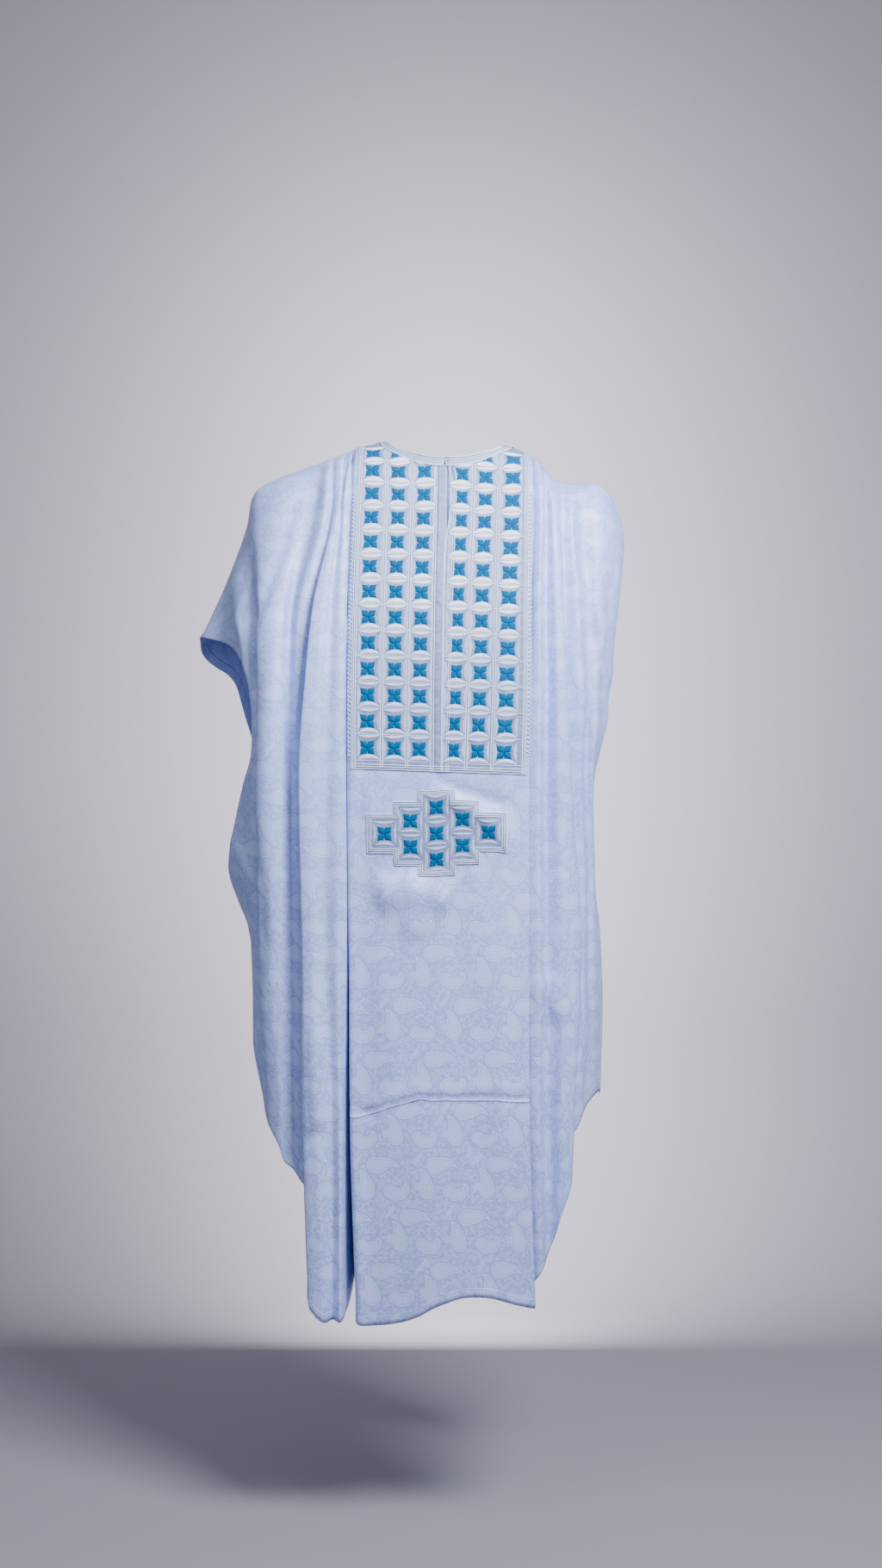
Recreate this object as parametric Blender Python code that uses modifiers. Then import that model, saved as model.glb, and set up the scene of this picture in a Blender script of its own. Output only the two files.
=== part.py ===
"""Grand boubou robe, worn: a wide robe of three lengths of damask hung from the shoulders.

The robe keeps the hollow form it has on a wearer. +Z is up, +X is the wearer's left and the front
faces -Y. The origin lies between the shoulders, where the wearer carries the robe. Sizes in the
tables are millimetres: a drop is how far a point lies below the origin, and "out" is how far a
fold stands in front of (or, at the back, behind) the body's round section.
"""
import math
from collections import namedtuple

import bmesh
import bpy
from mathutils import Vector
from mathutils.bvhtree import BVHTree

MM = 0.001

# Cloth and seams
WALL = 1.5                  # cloth with its hems and backing
SEAM_GAP = 0.3              # between two pieces that are sewn together
SIDE_SEAM_HALF = 1.1        # from the side plane to each edge that is sewn below the sleeve
SHOULDER_SEAM_HALF = 0.4    # from the shoulder line to the front and back lengths
TRIM_GAP = 0.35             # between a length of cloth and the embroidery on it
TRIM_GAP_AT_NECK = 1.8      # more of it where the cloth turns over the shoulders
TRIM_THICK = 1.1            # dense embroidery

# Neck hole, an oval round the neck
NECK_HALF_WIDTH = 88.0
NECK_FRONT = 72.0
NECK_BACK = 52.0
NECK_FRONT_DROP = 14.0
NECK_BACK_DROP = -2.0
NECK_DIP = 1.5              # how late the neckline dips from its sides to the middle
NECK_CAP = 40.0             # drop over which the cloth turns down below the neckline
NECK_RIGHT_DROP = -16.0
NECK_LEFT_DROP = -12.0

# Round section of the worn robe
SECTION_POWER = 2.4
HALF_WIDTH_RIGHT = (
    (0, 300), (100, 302), (220, 326), (340, 336), (560, 330), (700, 298), (940, 286), (1180, 280),
)
HALF_WIDTH_LEFT = (
    (0, 262), (100, 262), (220, 258), (340, 248), (460, 234), (560, 224), (700, 230), (1180, 226),
)
FRONT_DEPTH = (
    (0, 66), (100, 100), (220, 130), (340, 146), (460, 153), (700, 160), (940, 166), (1180, 171),
)
BACK_DEPTH = (
    (0, 60), (100, 96), (220, 114), (340, 119), (460, 122), (700, 130), (940, 138), (1180, 144),
)
SECTION_END = 0.995         # the share of the half width at which the section is cut off
FOLD_TOP_CLEAR = 30.0       # the least drop from a fold's top to its first width in the table
MIDDLE_EASE = 150.0         # drop over which the middle lengths leave the neckline's spacing

# Where the rows of points lie along the drop
CAP_STEPS = 4
CHEST_END = 456.0
CHEST_STEPS = 7
SKIRT_STEPS = 9
SPAN_STEPS = 2              # columns from one fold line to the next
LEAST_STEP = 0.01

# Back: the same lengths, hung a little looser
BACK_SWAY = 7.0
BACK_SWAY_WAVE = 170.0
BACK_SWAY_START = (60.0, 320.0)
BACK_SWAY_LEFT = 1.3
BACK_FOLD_START = (150.0, 900.0)
BACK_INSET = 0.97

# Embroidery. Chest pieces run between these columns of the front length's points.
CHEST_RIGHT = (5, 15)
PLACKET = (15.04, 17.96)
CHEST_LEFT = (18, 27)
CHEST_TOP_ROW = 0.5
ROW_SEARCH = 0.02
ROW_LEAST = 0.12
HALVINGS = 24
DIAMOND_CENTRE = (-12.0, 542.0)
DIAMOND_STEPS = ((19, 58), (54, 40), (99, 23))     # half width and half height of each step
NECKBAND_LINES = (1, 7, 13)                        # distances of its rings from the neck hole
NECKBAND_STEP = 1.0
NECKBAND_REACH = 15.0
NECKBAND_SIDES = 56
EDGE_MARKS = 160                                   # points marked round the neck hole's edge
NECKBAND_GAP = 1.8
NECKBAND_THICK = 1.8

HEIGHTS = (100, 220, 340, 460, 700, 940, 1180)
OUT_HEIGHTS = (100, 340, 700, 1100)

Fold = namedtuple("Fold", "name top_x top_drop cap x100 x220 x340 x460 x700 x940 x1180 "
                          "out100 out340 out700 out1100 hem back_hem")

# The right wing, from its cuff edge inwards. Each row is one fold line from the shoulder to the hem.
RIGHT_WING = (
    Fold("cuff_roll", -318, 189, 60, -305, -305, -276, -268, -268, -270, -270, 0, -6, 0, 0, 852, 848),
    Fold("under_first", -287, 106, 60, -280, -268, -244, -240, -242, -260, -260, -4, -12, -12, 4, 905, 900),
    Fold("first_edge", -272, 52, 58, -264, -262, -262, -262, -261, -248, -246, 4, 14, 16, 10, 944, 940),
    Fold("first_body", -239, 34, 56, -238, -240, -241, -240, -237, -230, -234, 6, 18, 18, 10, 976, 985),
    Fold("first_slope", -212, 24, 55, -214, -226, -229, -228, -226, -224, -222, 2, 10, 12, 8, 995, 1006),
    Fold("first_valley", -176, 11, 54, -188, -213, -218, -216, -214, -212, -210, -6, -6, -2, 0, 1006, 1030),
    Fold("first_ridge", -167, 8, 54, -169, -203, -208, -206, -204, -200, -198, 4, -1, -4, -4, 1024, 1060),
    Fold("under_second", -160, 5, 54, -162, -178, -178, -180, -181, -177, -173,
         -2, -8, -11, -4, 1042, 1150),
    Fold("second_edge", -154, 3, 54, -157, -183, -195, -202, -196, -190, -177, 4, 18, 21, 24, 1201, 1212),
    Fold("second_body", -149, 1, 54, -152, -170, -178, -185, -184, -177, -167, 5, 16, 20, 22, 1207, 1222),
    Fold("third_valley", -144, -1, 54, -148, -157, -160, -163, -165, -156, -155, 0, 6, 8, 8, 1205, 1222),
    Fold("third_crest", -139, -3, 54, -142.5, -148, -149, -150, -148, -146, -146,
         3, 7, 9, 14, 1207, 1214),
    Fold("third_side", -135.5, -5, 54, -138, -140.5, -141.5, -141, -139, -138, -136.5,
         0, 2, 0, -18, 1195, 1214),
    Fold("seam", -132.85, -6, 54, -134.5, -136.5, -137.5, -137, -135, -133, -126.5,
         -5, -7, -16, -84, 1160, 1196),
)

# The left wing, from its seam with the middle lengths out to its cuff edge.
LEFT_WING = (
    Fold("seam", 124.15, 5, 54, 123, 119, 114, 109, 107, 107, 113, -7, -11, -13, -24, 1176, 1196),
    Fold("first_side", 127, 5, 54, 127, 121.5, 118, 114, 113, 113, 119, -1, -5, -6, -12, 1160, 1200),
    Fold("first_crest", 131, 6, 54, 132, 128, 129, 127, 127, 127, 131, 4, 6, 6, 2, 1143, 1196),
    Fold("first_valley", 138, 16, 54, 140, 138, 139, 138, 138, 139, 141, -3, -7, -8, -7, 1120, 1180),
    Fold("second_crest", 147, 28, 54, 149, 152, 154, 155, 160, 158, 154, 4, 8, 11, 10, 1073, 1150),
    Fold("second_edge", 157, 37, 54, 156, 162, 167, 174, 187, 176, 168, 3, 7, 11, 10, 1009, 1090),
    Fold("under_second", 164, 40, 54, 162, 163, 162, 166, 176, 166, 160, -4, -9, -11, -8, 985, 1040),
    Fold("third_crest", 174, 42, 54, 176, 184, 188, 190, 194, 186, 180, 3, 2, 0, -6, 944, 985),
    Fold("third_valley", 191, 43, 56, 190, 197, 198, 197, 200, 196, 196, -4, -6, -6, -8, 922, 945),
    Fold("cap_front", 220, 44, 58, 212, 212, 210, 204, 208, 206, 206, 2, 4, -2, -4, 910, 920),
    Fold("cap_outer", 251, 94, 60, 232, 230, 222, 207, 213, 212, 212, 2, 2, -4, -6, 906, 908),
)

Edge = namedtuple("Edge", "drop x depth")

# Cuff edges: from the tip of the sleeve round its mouth to the underarm, then down the side seam.
RIGHT_CUFF_TOP = (-355, 263, 56)
RIGHT_CUFF_FRONT = (
    Edge(263, -352, 32), Edge(273, -315, 46), Edge(295, -291, 56), Edge(321, -275, 63), Edge(347, -268, 68),
    Edge(367, -265, 71), Edge(395, -266, 73), Edge(422, -271, 74), Edge(446, -277, 75), Edge(476, -286, 74),
    Edge(552, -302, 68), Edge(596, -307, 58), Edge(648, -293, 34), Edge(674, -284, 14),
    Edge(694, -278, SIDE_SEAM_HALF), Edge(815, -277, SIDE_SEAM_HALF),
)
RIGHT_CUFF_BACK = (
    Edge(263, -355, 30), Edge(284, -355, 42), Edge(300, -342, 48), Edge(314, -320, 54), Edge(330, -308, 58),
    Edge(354, -301, 62), Edge(376, -295, 66), Edge(414, -284, 70), Edge(476, -278, 72), Edge(552, -284, 66),
    Edge(596, -290, 56), Edge(648, -286, 32), Edge(674, -281, 14), Edge(694, -278, SIDE_SEAM_HALF),
    Edge(815, -277, SIDE_SEAM_HALF),
)
LEFT_CUFF_TOP = (242, 229, 58)
LEFT_CUFF_FRONT = (
    Edge(229, 241, 34), Edge(268, 236, 48), Edge(316, 234, 58), Edge(383, 229, 66), Edge(426, 217, 70),
    Edge(468, 209, 72), Edge(534, 202, 70), Edge(583, 199, 60), Edge(627, 200, 38), Edge(653, 208, 14),
    Edge(674, 216, SIDE_SEAM_HALF), Edge(749, 224, SIDE_SEAM_HALF), Edge(831, 225, SIDE_SEAM_HALF),
    Edge(918, 221, SIDE_SEAM_HALF),
)
LEFT_CUFF_BACK = (
    Edge(229, 241, 34), Edge(270, 237, 50), Edge(318, 233, 60), Edge(384, 225, 68), Edge(468, 215, 74),
    Edge(534, 209, 70), Edge(583, 205, 58), Edge(627, 206, 36), Edge(653, 211, 14),
    Edge(674, 216, SIDE_SEAM_HALF), Edge(749, 224, SIDE_SEAM_HALF), Edge(831, 225, SIDE_SEAM_HALF),
    Edge(918, 221, SIDE_SEAM_HALF),
)

# The middle front length between its two turned edges, and the middle back length.
RIGHT_TURN = (
    Fold("wall", -131, -7, 54, -132.8, -135.2, -136.2, -135.6, -133.6, -131, -122.5,
         -2, -3, -6, -36, 1189, 1206),
    Fold("edge", -128, -9, 54, -130.5, -133, -134.5, -134, -132, -129, -118.5, 2, 2, 2, 4, 1212, 1214),
)
LEFT_TURN = (
    Fold("edge", 121, 2, 54, 120.5, 118, 116.5, 113.5, 113.5, 114.5, 122, 1, 0, 0, 2, 1190, 1207),
    Fold("wall", 122.6, 4, 54, 121.6, 118, 114, 110, 109, 109.5, 116, -2, -6, -7, -12, 1183, 1200),
)
FRONT_HEMS = (1212, 1210, 1206, 1199, 1188, 1180, 1174, 1173, 1175, 1181, 1187)
BACK_HEMS = (1214, 1216, 1214, 1212, 1214, 1218, 1220, 1216, 1212, 1214, 1212)
BACK_OUTS = (6, 10, -4, 12, 2, -6, 8, 14, -2, 10, 4)       # soft folds of the back at the hem
NECK_COLUMNS = 7
FIRST_NECK_COLUMN = 1 + len(RIGHT_TURN) + (len(FRONT_HEMS) - NECK_COLUMNS) // 2

FRONT = -1
BACK = 1


def through(knots, at):
    """A smooth curve through (position, value) knots, level beyond its two ends."""
    if at <= knots[0][0]:
        return knots[0][1]
    if at >= knots[-1][0]:
        return knots[-1][1]
    index = max(i for i in range(len(knots) - 1) if knots[i][0] <= at)
    before = knots[max(index - 1, 0)]
    start = knots[index]
    end = knots[index + 1]
    after = knots[min(index + 2, len(knots) - 1)]
    width = end[0] - start[0]
    t = (at - start[0]) / width
    leave = (end[1] - before[1]) / (end[0] - before[0]) * width
    arrive = (after[1] - start[1]) / (after[0] - start[0]) * width
    rise = end[1] - start[1]
    return start[1] + t * (leave + t * (3 * rise - 2 * leave - arrive + t * (leave + arrive - 2 * rise)))


def smooth(low, high, at):
    """0 below low, 1 above high, and an easy curve between."""
    t = min(max((at - low) / (high - low), 0.0), 1.0)
    return t * t * (3 - 2 * t)


def section_depth(x, drop, side):
    """How far the body's round section reaches to the front or back at this width and drop."""
    depth = through(FRONT_DEPTH if side == FRONT else BACK_DEPTH, drop)
    half = through(HALF_WIDTH_LEFT if x > 0 else HALF_WIDTH_RIGHT, drop)
    across = min(abs(x) / half, SECTION_END)
    return depth * (1 - across ** SECTION_POWER) ** (1 / SECTION_POWER)


def drops(top, cap, hem):
    """The drops of one column's points with the sine of each point's turn from the shoulder."""
    levels = []
    for step in range(CAP_STEPS):
        turn = math.pi / 2 * step / CAP_STEPS
        levels.append((top + cap * (1 - math.cos(turn)), math.sin(turn)))
    for step in range(CHEST_STEPS):
        levels.append((top + cap + (CHEST_END - top - cap) * step / CHEST_STEPS, 1.0))
    for step in range(SKIRT_STEPS + 1):
        levels.append((CHEST_END + (hem - CHEST_END) * step / SKIRT_STEPS, 1.0))
    return levels


def fold_x(fold, drop, side):
    """A fold line's distance from the middle plane."""
    knots = [(fold.top_drop, fold.top_x)]
    for height, x in zip(HEIGHTS, fold[4:11]):
        if height > fold.top_drop + FOLD_TOP_CLEAR:
            knots.append((height, x))
    x = through(knots, drop)
    if side == BACK:
        loose = smooth(*BACK_SWAY_START, drop)
        sway = BACK_SWAY * math.sin(drop / BACK_SWAY_WAVE + (BACK_SWAY_LEFT if x > 0 else 0.0))
        x = x * (1 - (1 - BACK_INSET) * loose) + sway * loose
    return x


def fold_out(fold, drop):
    """How far a fold line stands out of the round section."""
    return through(list(zip(OUT_HEIGHTS, fold[11:15])), drop)


def fold_column(fold, side, shift=0.0, top_half=0.0):
    """The points of one fold line from the shoulder to the hem."""
    hem = fold.hem if side == FRONT else fold.back_hem
    points = []
    for drop, turn in drops(fold.top_drop, fold.cap, hem):
        x = fold_x(fold, drop, side) + shift
        depth = section_depth(x, drop, side) + fold_out(fold, drop)
        points.append(Vector((x, side * (top_half + (depth - top_half) * turn), -drop)))
    return points


def cuff_column(top, edges, side):
    """The points of a wing's outer edge: round the sleeve's mouth, then down the side seam."""
    top_x, top_drop, cap = top
    xs = [(edge.drop, edge.x) for edge in edges]
    depths = [(edge.drop, edge.depth) for edge in edges]
    points = []
    for drop, turn in drops(top_drop, cap, edges[-1].drop):
        depth = through(depths, drop) * turn
        if drop > top_drop:
            depth = max(depth, SIDE_SEAM_HALF)
        points.append(Vector((through(xs, drop), side * depth, -drop)))
    return points


def middle_columns(left, right, hems, outs, side):
    """Columns of a middle length between its left and right edge folds, round the neck at the top."""
    count = len(hems)
    left_edge = left[-1]
    right_edge = right[0]
    columns = []
    reach = NECK_FRONT if side == FRONT else NECK_BACK
    middle_drop = NECK_FRONT_DROP if side == FRONT else NECK_BACK_DROP
    first_neck = (count - NECK_COLUMNS) // 2
    for index in range(count):
        share = (index + 1) / (count + 1)
        if first_neck <= index < first_neck + NECK_COLUMNS:
            angle = math.pi * (index - first_neck) / (NECK_COLUMNS - 1)
            top_x = -NECK_HALF_WIDTH * math.cos(angle)
            top_y = SHOULDER_SEAM_HALF + reach * math.sin(angle)
            side_drop = NECK_RIGHT_DROP + (NECK_LEFT_DROP - NECK_RIGHT_DROP) * angle / math.pi
            top_drop = side_drop + (middle_drop - side_drop) * max(math.sin(angle), 0.0) ** NECK_DIP
            cap = left_edge.cap + (NECK_CAP - left_edge.cap) * math.sin(angle)
        else:
            if index < first_neck:
                edge, neck_x, neck_drop = left_edge, -NECK_HALF_WIDTH, NECK_RIGHT_DROP
                toward = (index + 1) / (first_neck + 1)
            else:
                edge, neck_x, neck_drop = right_edge, NECK_HALF_WIDTH, NECK_LEFT_DROP
                toward = (count - index) / (first_neck + 1)
            top_x = edge.top_x + (neck_x - edge.top_x) * toward
            top_y = SHOULDER_SEAM_HALF
            top_drop = edge.top_drop + (neck_drop - edge.top_drop) * toward
            cap = edge.cap
        points = []
        for drop, turn in drops(top_drop, cap, hems[index]):
            low_x = (1 - share) * fold_x(left_edge, drop, side) + share * fold_x(right_edge, drop, side)
            ease = smooth(top_drop, top_drop + MIDDLE_EASE, drop)
            x = top_x + (low_x - top_x) * ease
            depth = section_depth(x, drop, side) + outs[index] * smooth(*BACK_FOLD_START, drop)
            points.append(Vector((x, side * (top_y + (depth - top_y) * turn), -drop)))
        columns.append(points)
    return columns


def slope(before, here, after):
    """The way a smooth line runs through a point, per unit of length, from its two neighbours."""
    back = max((here - before).length, LEAST_STEP)
    ahead = max((after - here).length, LEAST_STEP)
    return ((here - before) / back * ahead + (after - here) / ahead * back) / (back + ahead)


def spread(columns, steps):
    """Columns with others between them on a smooth curve through their points."""
    result = []
    last = len(columns) - 1
    for index in range(last):
        for step in range(steps):
            t = step / steps
            column = []
            for row in range(len(columns[0])):
                start = columns[index][row]
                end = columns[index + 1][row]
                width = (end - start).length
                leave = slope(columns[max(index - 1, 0)][row], start, end) * width
                arrive = slope(start, end, columns[min(index + 2, last)][row]) * width
                rise = end - start
                column.append(start + t * (leave + t * (3 * rise - 2 * leave - arrive
                                                        + t * (leave + arrive - 2 * rise))))
            result.append(column)
    result.append(columns[last])
    return result


def make_material(name, colour, roughness):
    material = bpy.data.materials.new(name)
    material.use_nodes = True
    shader = material.node_tree.nodes["Principled BSDF"]
    shader.inputs["Base Color"].default_value = (*colour, 1.0)
    shader.inputs["Roughness"].default_value = roughness
    shader.inputs["Metallic"].default_value = 0.0
    return material


def sheet_mesh(name, columns, closed=False, keep=None):
    """A sheet of quads through columns of points, and the normals at those points."""
    across = len(columns)
    down = len(columns[0])
    sheet = bmesh.new()
    bmesh.ops.create_grid(sheet, x_segments=across - 1, y_segments=down - 1, size=1)
    order = sorted(sheet.verts, key=lambda v: (round(v.co.x, 5), -round(v.co.y, 5)))
    for number, vertex in enumerate(order):
        column, row = divmod(number, down)
        vertex.co = columns[column][row] * MM
    if keep:
        spare = [face for face in sheet.faces if not keep(face.calc_center_median() / MM)]
        bmesh.ops.delete(sheet, geom=spare, context="FACES")
    bmesh.ops.triangulate(sheet, faces=sheet.faces[:], quad_method="FIXED")
    sheet.normal_update()
    normals = []
    if not keep:
        for column in range(across):
            normals.append([vertex.normal.copy() for vertex in order[column * down:(column + 1) * down]])
    if closed:
        bmesh.ops.remove_doubles(sheet, verts=sheet.verts, dist=0.00001)
    mesh = bpy.data.meshes.new(name)
    sheet.to_mesh(mesh)
    sheet.free()
    return mesh, normals


def add_cloth(name, mesh, material, thickness, offset):
    """Link a sheet as an object with a wall inside it (offset -1) or outside it (offset 1)."""
    mesh.materials.append(material)
    mesh.shade_smooth()
    cloth = bpy.data.objects.new(name, mesh)
    parts.objects.link(cloth)
    wall = cloth.modifiers.new("Wall", "SOLIDIFY")
    wall.thickness = thickness * MM
    wall.offset = offset
    return cloth


def wing_columns(front_columns, back_columns):
    """A side length that runs from the front hem over the shoulder to the back hem."""
    columns = []
    for front, back in zip(spread(front_columns, SPAN_STEPS), spread(back_columns, SPAN_STEPS)):
        columns.append(list(reversed(front)) + back[1:])
    columns.reverse()
    return columns


def on_sheet(grid, u, v):
    """The value between the four nearest entries of a grid of points or normals."""
    column = min(int(u), len(grid) - 2)
    row = min(int(v), len(grid[0]) - 2)
    right = u - column
    low = v - row
    top = grid[column][row].lerp(grid[column + 1][row], right)
    bottom = grid[column][row + 1].lerp(grid[column + 1][row + 1], right)
    return top.lerp(bottom, low)


def lifted(columns, normals, u, v, gap):
    """A point of a sheet moved out along its normal."""
    return on_sheet(columns, u, v) + on_sheet(normals, u, v).normalized() * gap


def lines_between(start, end):
    """Start and end with the whole numbers between them."""
    inner = [line for line in range(math.ceil(start), math.floor(end) + 1) if start < line < end]
    return [start] + inner + [end]


def kept_to_side(columns, side):
    """Columns whose points all stay on their own side of the shoulder seam."""
    for column in columns:
        for point in column:
            point.y = side * max(side * point.y, SHOULDER_SEAM_HALF)
    return columns


def row_at(columns, u, drop):
    """The row position on a sheet where its drop reaches a value."""
    low = float(CAP_STEPS)
    high = float(len(columns[0]) - 1)
    for _ in range(HALVINGS):
        middle = (low + high) / 2
        if -on_sheet(columns, u, middle).z < drop:
            low = middle
        else:
            high = middle
    return (low + high) / 2


def neck_edge(front_columns, back_columns, turn):
    """A point of the neck hole's edge: turn 0 to 1 along the back, 1 to 2 along the front."""
    span = NECK_COLUMNS - 1
    if turn % 2 < 1:
        return on_sheet(back_columns, SPAN_STEPS * (FIRST_NECK_COLUMN + span * (1 - turn % 2)), 0)
    return on_sheet(front_columns, SPAN_STEPS * (FIRST_NECK_COLUMN + span * (turn % 2 - 1)), 0)


def below_neckband(columns, u, edge):
    """The row position on the front where bare cloth ends under the neckband."""
    row = CHEST_TOP_ROW
    while row < CAP_STEPS:
        point = on_sheet(columns, u, row)
        if min((point - mark).length for mark in edge) > NECKBAND_REACH:
            break
        row += ROW_SEARCH
    return row


def share_of_front(share):
    """The column position on the front length at a share of the width between its edge folds."""
    return SPAN_STEPS * (len(RIGHT_TURN) + share * (len(FRONT_HEMS) + 1))


def chest_block(name, columns, normals, start, end, edge, material):
    """Embroidery on the front from below the neckband to the end of the chest."""
    block = []
    for u in lines_between(start, end):
        top = below_neckband(columns, u, edge)
        rows = [top] + [max(row, top + row * ROW_LEAST) for row in range(1, CAP_STEPS + CHEST_STEPS + 1)]
        gaps = [TRIM_GAP + TRIM_GAP_AT_NECK * (1 - smooth(0, CAP_STEPS + 3, row)) for row in rows]
        block.append([lifted(columns, normals, u, row, gap) for row, gap in zip(rows, gaps)])
    mesh, _ = sheet_mesh(name, block)
    add_cloth(name, mesh, material, TRIM_THICK, 1)


def diamond(name, columns, normals, material):
    """The stepped lozenge of embroidery below the chest."""
    centre_x, centre_drop = DIAMOND_CENTRE
    width = LEFT_TURN[0].x460 - RIGHT_TURN[-1].x460
    edges = [centre_x + side * half for half, _ in DIAMOND_STEPS for side in (-1, 1)]
    shares = [(x - RIGHT_TURN[-1].x460) / width for x in edges]
    step_columns = [share_of_front(share) for share in shares]
    us = sorted(set(step_columns + lines_between(min(step_columns), max(step_columns))[1:-1]))
    heights = sorted(centre_drop + side * half for _, half in DIAMOND_STEPS for side in (-1, 1))
    block = []
    for u in us:
        block.append([lifted(columns, normals, u, row_at(columns, u, drop), TRIM_GAP) for drop in heights])

    def inside(point):
        x_off = abs(point.x - centre_x)
        drop_off = abs(-point.z - centre_drop)
        return any(x_off < half[0] + 1 and drop_off < half[1] for half in DIAMOND_STEPS)

    mesh, _ = sheet_mesh(name, block, keep=inside)
    add_cloth(name, mesh, material, TRIM_THICK, 1)


def neckband(name, front_columns, back_columns, surface, material):
    """A flat ring of cords that lies round the neck hole on both middle lengths."""
    pace = 2 / NECKBAND_SIDES
    ring = []
    for step in range(NECKBAND_SIDES + 1):
        turn = (step % NECKBAND_SIDES + 0.5) * pace
        point = neck_edge(front_columns, back_columns, turn)
        along = neck_edge(front_columns, back_columns, turn + pace / 2)
        along = along - neck_edge(front_columns, back_columns, turn - pace / 2)
        line = []
        for width in range(NECKBAND_LINES[-1] + 1):
            place, normal, _, _ = surface.find_nearest(point * MM)
            if width in NECKBAND_LINES:
                line.append(place / MM + normal * NECKBAND_GAP)
            point = place / MM + along.cross(normal).normalized() * NECKBAND_STEP
        ring.append(line)
    mesh, _ = sheet_mesh(name, ring, closed=True)
    add_cloth(name, mesh, material, NECKBAND_THICK, 1)


for old in list(bpy.data.objects):
    bpy.data.objects.remove(old, do_unlink=True)

parts = bpy.data.collections.new("grand_boubou_robe")
bpy.context.scene.collection.children.link(parts)

damask = make_material("white_damask", (0.78, 0.81, 0.92), 0.5)
embroidery = make_material("silver_white_embroidery", (0.74, 0.78, 0.88), 0.42)

# Side lengths: folded over the shoulders in deep pleats, open at the sleeves, sewn below the underarms.
right_front = [cuff_column(RIGHT_CUFF_TOP, RIGHT_CUFF_FRONT, FRONT)]
right_front += [fold_column(fold, FRONT) for fold in RIGHT_WING]
right_back = [cuff_column(RIGHT_CUFF_TOP, RIGHT_CUFF_BACK, BACK)]
right_back += [fold_column(fold, BACK) for fold in RIGHT_WING]
right_mesh, _ = sheet_mesh("right_wing", wing_columns(right_front, right_back))
add_cloth("right_wing", right_mesh, damask, WALL, -1)

left_front = [fold_column(fold, FRONT) for fold in LEFT_WING]
left_front += [cuff_column(LEFT_CUFF_TOP, LEFT_CUFF_FRONT, FRONT)]
left_back = [fold_column(fold, BACK) for fold in LEFT_WING]
left_back += [cuff_column(LEFT_CUFF_TOP, LEFT_CUFF_BACK, BACK)]
left_mesh, _ = sheet_mesh("left_wing", wing_columns(left_front, left_back))
add_cloth("left_wing", left_mesh, damask, WALL, -1)

# Middle lengths: flat across the chest, turned in at both sides to the seams inside the pleats.
right_seam = RIGHT_WING[-1]
left_seam = LEFT_WING[0]
front_base = [fold_column(right_seam, FRONT, SEAM_GAP, SHOULDER_SEAM_HALF)]
front_base += [fold_column(fold, FRONT, 0, SHOULDER_SEAM_HALF) for fold in RIGHT_TURN]
front_base += middle_columns(RIGHT_TURN, LEFT_TURN, FRONT_HEMS, [0] * len(FRONT_HEMS), FRONT)
front_base += [fold_column(fold, FRONT, 0, SHOULDER_SEAM_HALF) for fold in LEFT_TURN]
front_base += [fold_column(left_seam, FRONT, -SEAM_GAP, SHOULDER_SEAM_HALF)]
front_columns = kept_to_side(spread(front_base, SPAN_STEPS), FRONT)
front_mesh, front_normals = sheet_mesh("front_panel", front_columns)
add_cloth("front_panel", front_mesh, damask, WALL, -1)

back_base = [fold_column(right_seam, BACK, SEAM_GAP, SHOULDER_SEAM_HALF)]
back_base += [fold_column(fold, BACK, 0, SHOULDER_SEAM_HALF) for fold in RIGHT_TURN]
back_base += middle_columns(RIGHT_TURN, LEFT_TURN, BACK_HEMS, BACK_OUTS, BACK)
back_base += [fold_column(fold, BACK, 0, SHOULDER_SEAM_HALF) for fold in LEFT_TURN]
back_base += [fold_column(left_seam, BACK, -SEAM_GAP, SHOULDER_SEAM_HALF)]
back_columns = kept_to_side(spread(back_base, SPAN_STEPS), BACK)
back_mesh, _ = sheet_mesh("back_panel", list(reversed(back_columns)))
add_cloth("back_panel", back_mesh, damask, WALL, -1)

# Embroidery: a grid of stars each side of the placket, a lozenge below it and cords round the neck.
tree = bmesh.new()
tree.from_mesh(front_mesh)
tree.from_mesh(back_mesh)
middle_surface = BVHTree.FromBMesh(tree)
tree.free()
edge_marks = [neck_edge(front_columns, back_columns, 2 * step / EDGE_MARKS) for step in range(EDGE_MARKS)]
chest_block("chest_embroidery_right", front_columns, front_normals, *CHEST_RIGHT, edge_marks, embroidery)
chest_block("placket", front_columns, front_normals, *PLACKET, edge_marks, embroidery)
chest_block("chest_embroidery_left", front_columns, front_normals, *CHEST_LEFT, edge_marks, embroidery)
diamond("lozenge_embroidery", front_columns, front_normals, embroidery)
neckband("neckband", front_columns, back_columns, middle_surface, embroidery)
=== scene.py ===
import bmesh
import bpy
import math
from collections import namedtuple
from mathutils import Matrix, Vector, noise
from mathutils.bvhtree import BVHTree
from mathutils.kdtree import KDTree


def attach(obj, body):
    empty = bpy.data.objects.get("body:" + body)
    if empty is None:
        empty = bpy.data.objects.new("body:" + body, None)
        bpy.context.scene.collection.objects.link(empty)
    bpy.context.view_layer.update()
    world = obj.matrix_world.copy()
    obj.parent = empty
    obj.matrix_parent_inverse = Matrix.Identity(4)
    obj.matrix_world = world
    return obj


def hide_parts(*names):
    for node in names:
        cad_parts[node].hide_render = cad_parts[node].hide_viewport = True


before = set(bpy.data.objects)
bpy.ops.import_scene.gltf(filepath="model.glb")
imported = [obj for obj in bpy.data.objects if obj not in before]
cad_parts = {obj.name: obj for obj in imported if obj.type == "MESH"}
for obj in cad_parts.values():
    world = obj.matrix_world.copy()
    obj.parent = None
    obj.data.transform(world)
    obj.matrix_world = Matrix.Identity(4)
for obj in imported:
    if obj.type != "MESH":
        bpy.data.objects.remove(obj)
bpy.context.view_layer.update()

mm = 0.001
front = -1
back = 1

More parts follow.
